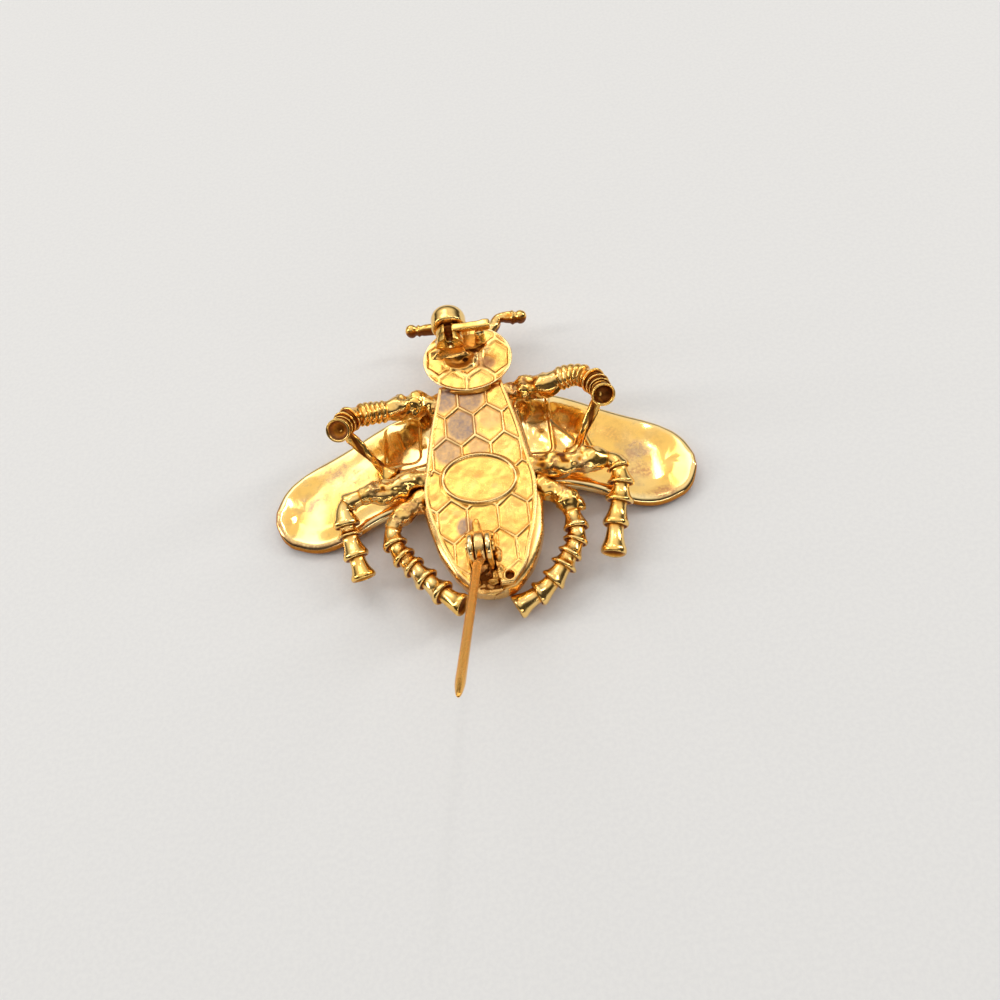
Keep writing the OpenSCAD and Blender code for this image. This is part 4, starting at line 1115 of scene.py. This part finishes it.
def studio():
    reach = 1.2
    corners = [(reach * x, reach * y, 0) for x, y in ((-1, -1), (1, -1), (1, 1), (-1, 1))]
    mesh = bpy.data.meshes.new("floor")
    mesh.from_pydata(corners, [], [(0, 1, 2, 3)])
    mesh.materials.append(floor_finish())
    floor = add("floor", mesh)
    sky = Finish("studio", "worlds")
    direction = sky.node("ShaderNodeTexCoord")
    overhead = sky.node("ShaderNodeVectorMath", {"operation": "DOT_PRODUCT"},
                        {0: direction, 1: (-0.08, 0.34, 0.94)}, 1)
    glow = sky.mix((0.06, 0.055, 0.05, 1), (0.97, 0.955, 0.93, 1), overhead.step(0.38, 0.86))
    shader = sky.node("ShaderNodeBackground", None, {"Color": glow})
    sky.node("ShaderNodeOutputWorld", None, {"Surface": shader})
    bpy.context.scene.world = sky.block
    for name, place, size, power in (
            ("window", (-0.16, 0.34, 0.46), (0.3, 0.2), 0.4),
            ("side", (0.5, 0.16, 0.3), (0.1, 0.34), 0.9),
            ("left", (-0.5, 0.02, 0.26), (0.08, 0.36), 0.8),
            ("front", (0.1, -0.5, 0.16), (0.5, 0.05), 0.35),
            ("spark", (0.12, 0.26, 0.5), (0.02, 0.06), 0.12)):
        lamp = bpy.data.lights.new(name, "AREA")
        lamp.shape = "RECTANGLE"
        lamp.size, lamp.size_y = size
        lamp.energy = power
        lamp.color = (1, 0.98, 0.95)
        light = add(name, lamp)
        light.location = place
        light.rotation_euler = (Vector((0, 0, 0.005)) - Vector(place)).to_track_quat("-Z", "Y").to_euler()


place_camera()
studio()

plate_gold = gold("plate_gold", 0.26, 0.4, 0.3, 0.12, tone=DEEP_GOLD, pale=0.1, occlusion_shade=0.7)
wing_gold = gold("wing_gold", 0.1, 0.5, 0.12, 0.03, 0.05, occlusion_shade=0.5)
leg_gold = gold("leg_gold", 0.15, 0.45, 0.35, 0.14)
fitting_gold = gold("fitting_gold", 0.14, 0.25, 0.2, 0.08)
wire_gold = gold("wire_gold", 0.22, 0.15, 0.06, 0.05, 0.35, (0.8, 9, 9), WIRE_GOLD, 0.1)

MIDDLE = ((0.545, 0.79), MIDDLE_REACH, 0.4)
REAR = ((0.45, 0.7), REAR_REACH, 0.25)

CAST = (
    ("back_and_shell", "body", plate_gold, with_solder(back_plate() + shell())),
    ("head_disc", "head", plate_gold, head()),
    ("wing_right_cast", "wing_right", wing_gold, wing(0)),
    ("wing_left_cast", "wing_left", wing_gold, wing(1).mirrored()),
    ("front_leg_right", "leg_front_right", leg_gold,
     front_leg(FRONT_RIGHT, (0.955, 0.8), (12.376, 4.200576), 0)),
    ("front_leg_left", "leg_front_left", leg_gold,
     front_leg(FRONT_LEFT, (0.93, 0.8), (12.104, 4.600768), 1).mirrored()),
    ("middle_leg_right", "leg_middle_right", leg_gold, spool_leg(
        MIDDLE_RIGHT, *MIDDLE,
        [[0.06, 0.9], [0.12, 1.08], [0.2, 0.92], [0.27, 1.05], [0.33, 1.05], [0.39, 0.72]],
        [(0.8, 0.95), (0.8, 1.08), (0.9, 1.1), (1.2, 1.05), (1.4, 1)], 171, 0.25)),
    ("middle_leg_left", "leg_middle_left", leg_gold, spool_leg(
        MIDDLE_LEFT, *MIDDLE, [[0.06, 0.95], [0.12, 1.02], [0.2, 0.9], [0.27, 1], [0.33, 0.85], [0.39, 0.7]],
        [(0.8, 0.85), (1.3, 1.08), (0.6, 0.98), (1.2, 1.05), (1.2, 1.02)], 181, 0.32).mirrored()),
    ("rear_leg_left", "leg_rear_left", leg_gold, spool_leg(
        REAR_LEFT, *REAR, [[0.06, 0.8], [0.12, 0.9], [0.18, 0.75], [0.24, 0.7]],
        [(1, 1), (0.9, 1.02), (0.8, 1), (1, 1.02), (1.2, 1.05), (1.3, 0.88)], 191, 0.16).mirrored()),
    ("rear_leg_right", "leg_rear_right", leg_gold, spur() + spool_leg(
        REAR_RIGHT, *REAR, [[0.06, 0.8], [0.12, 0.85], [0.18, 1], [0.24, 0.75]],
        [(1, 1), (0.8, 0.98), (0.8, 1.02), (0.7, 1.06), (1, 1.05), (1.1, 1), (1.3, 0.96)], 201, 0.2)),
    ("antenna_rod_left", "antenna_left", leg_gold, antenna((0.55, -0.3), 1).mirrored()),
    ("antenna_rod_right", "antenna_right", leg_gold, antenna((0.6, 0.2), 0)))
for name, node, material, form in CAST:
    make(name, form, material, "cast_gold", "brooch", node)

make("hinge_ears", hinge_bracket(), fitting_gold, "fitting_gold", "brooch", "hinge_bracket")
make("rivet", hinge_rivet(), fitting_gold, "fitting_gold", "brooch", "hinge_rivet")
make("pin_wire_and_eye", pin_stem(), wire_gold, "pin_wire", "pin", "pin_stem")
make("catch_ring_and_dome", catch_body(), fitting_gold, "fitting_gold", "brooch", "catch_body")
make("roller_and_lever", catch_roller(), fitting_gold, "fitting_gold", "roller", "catch_roller")
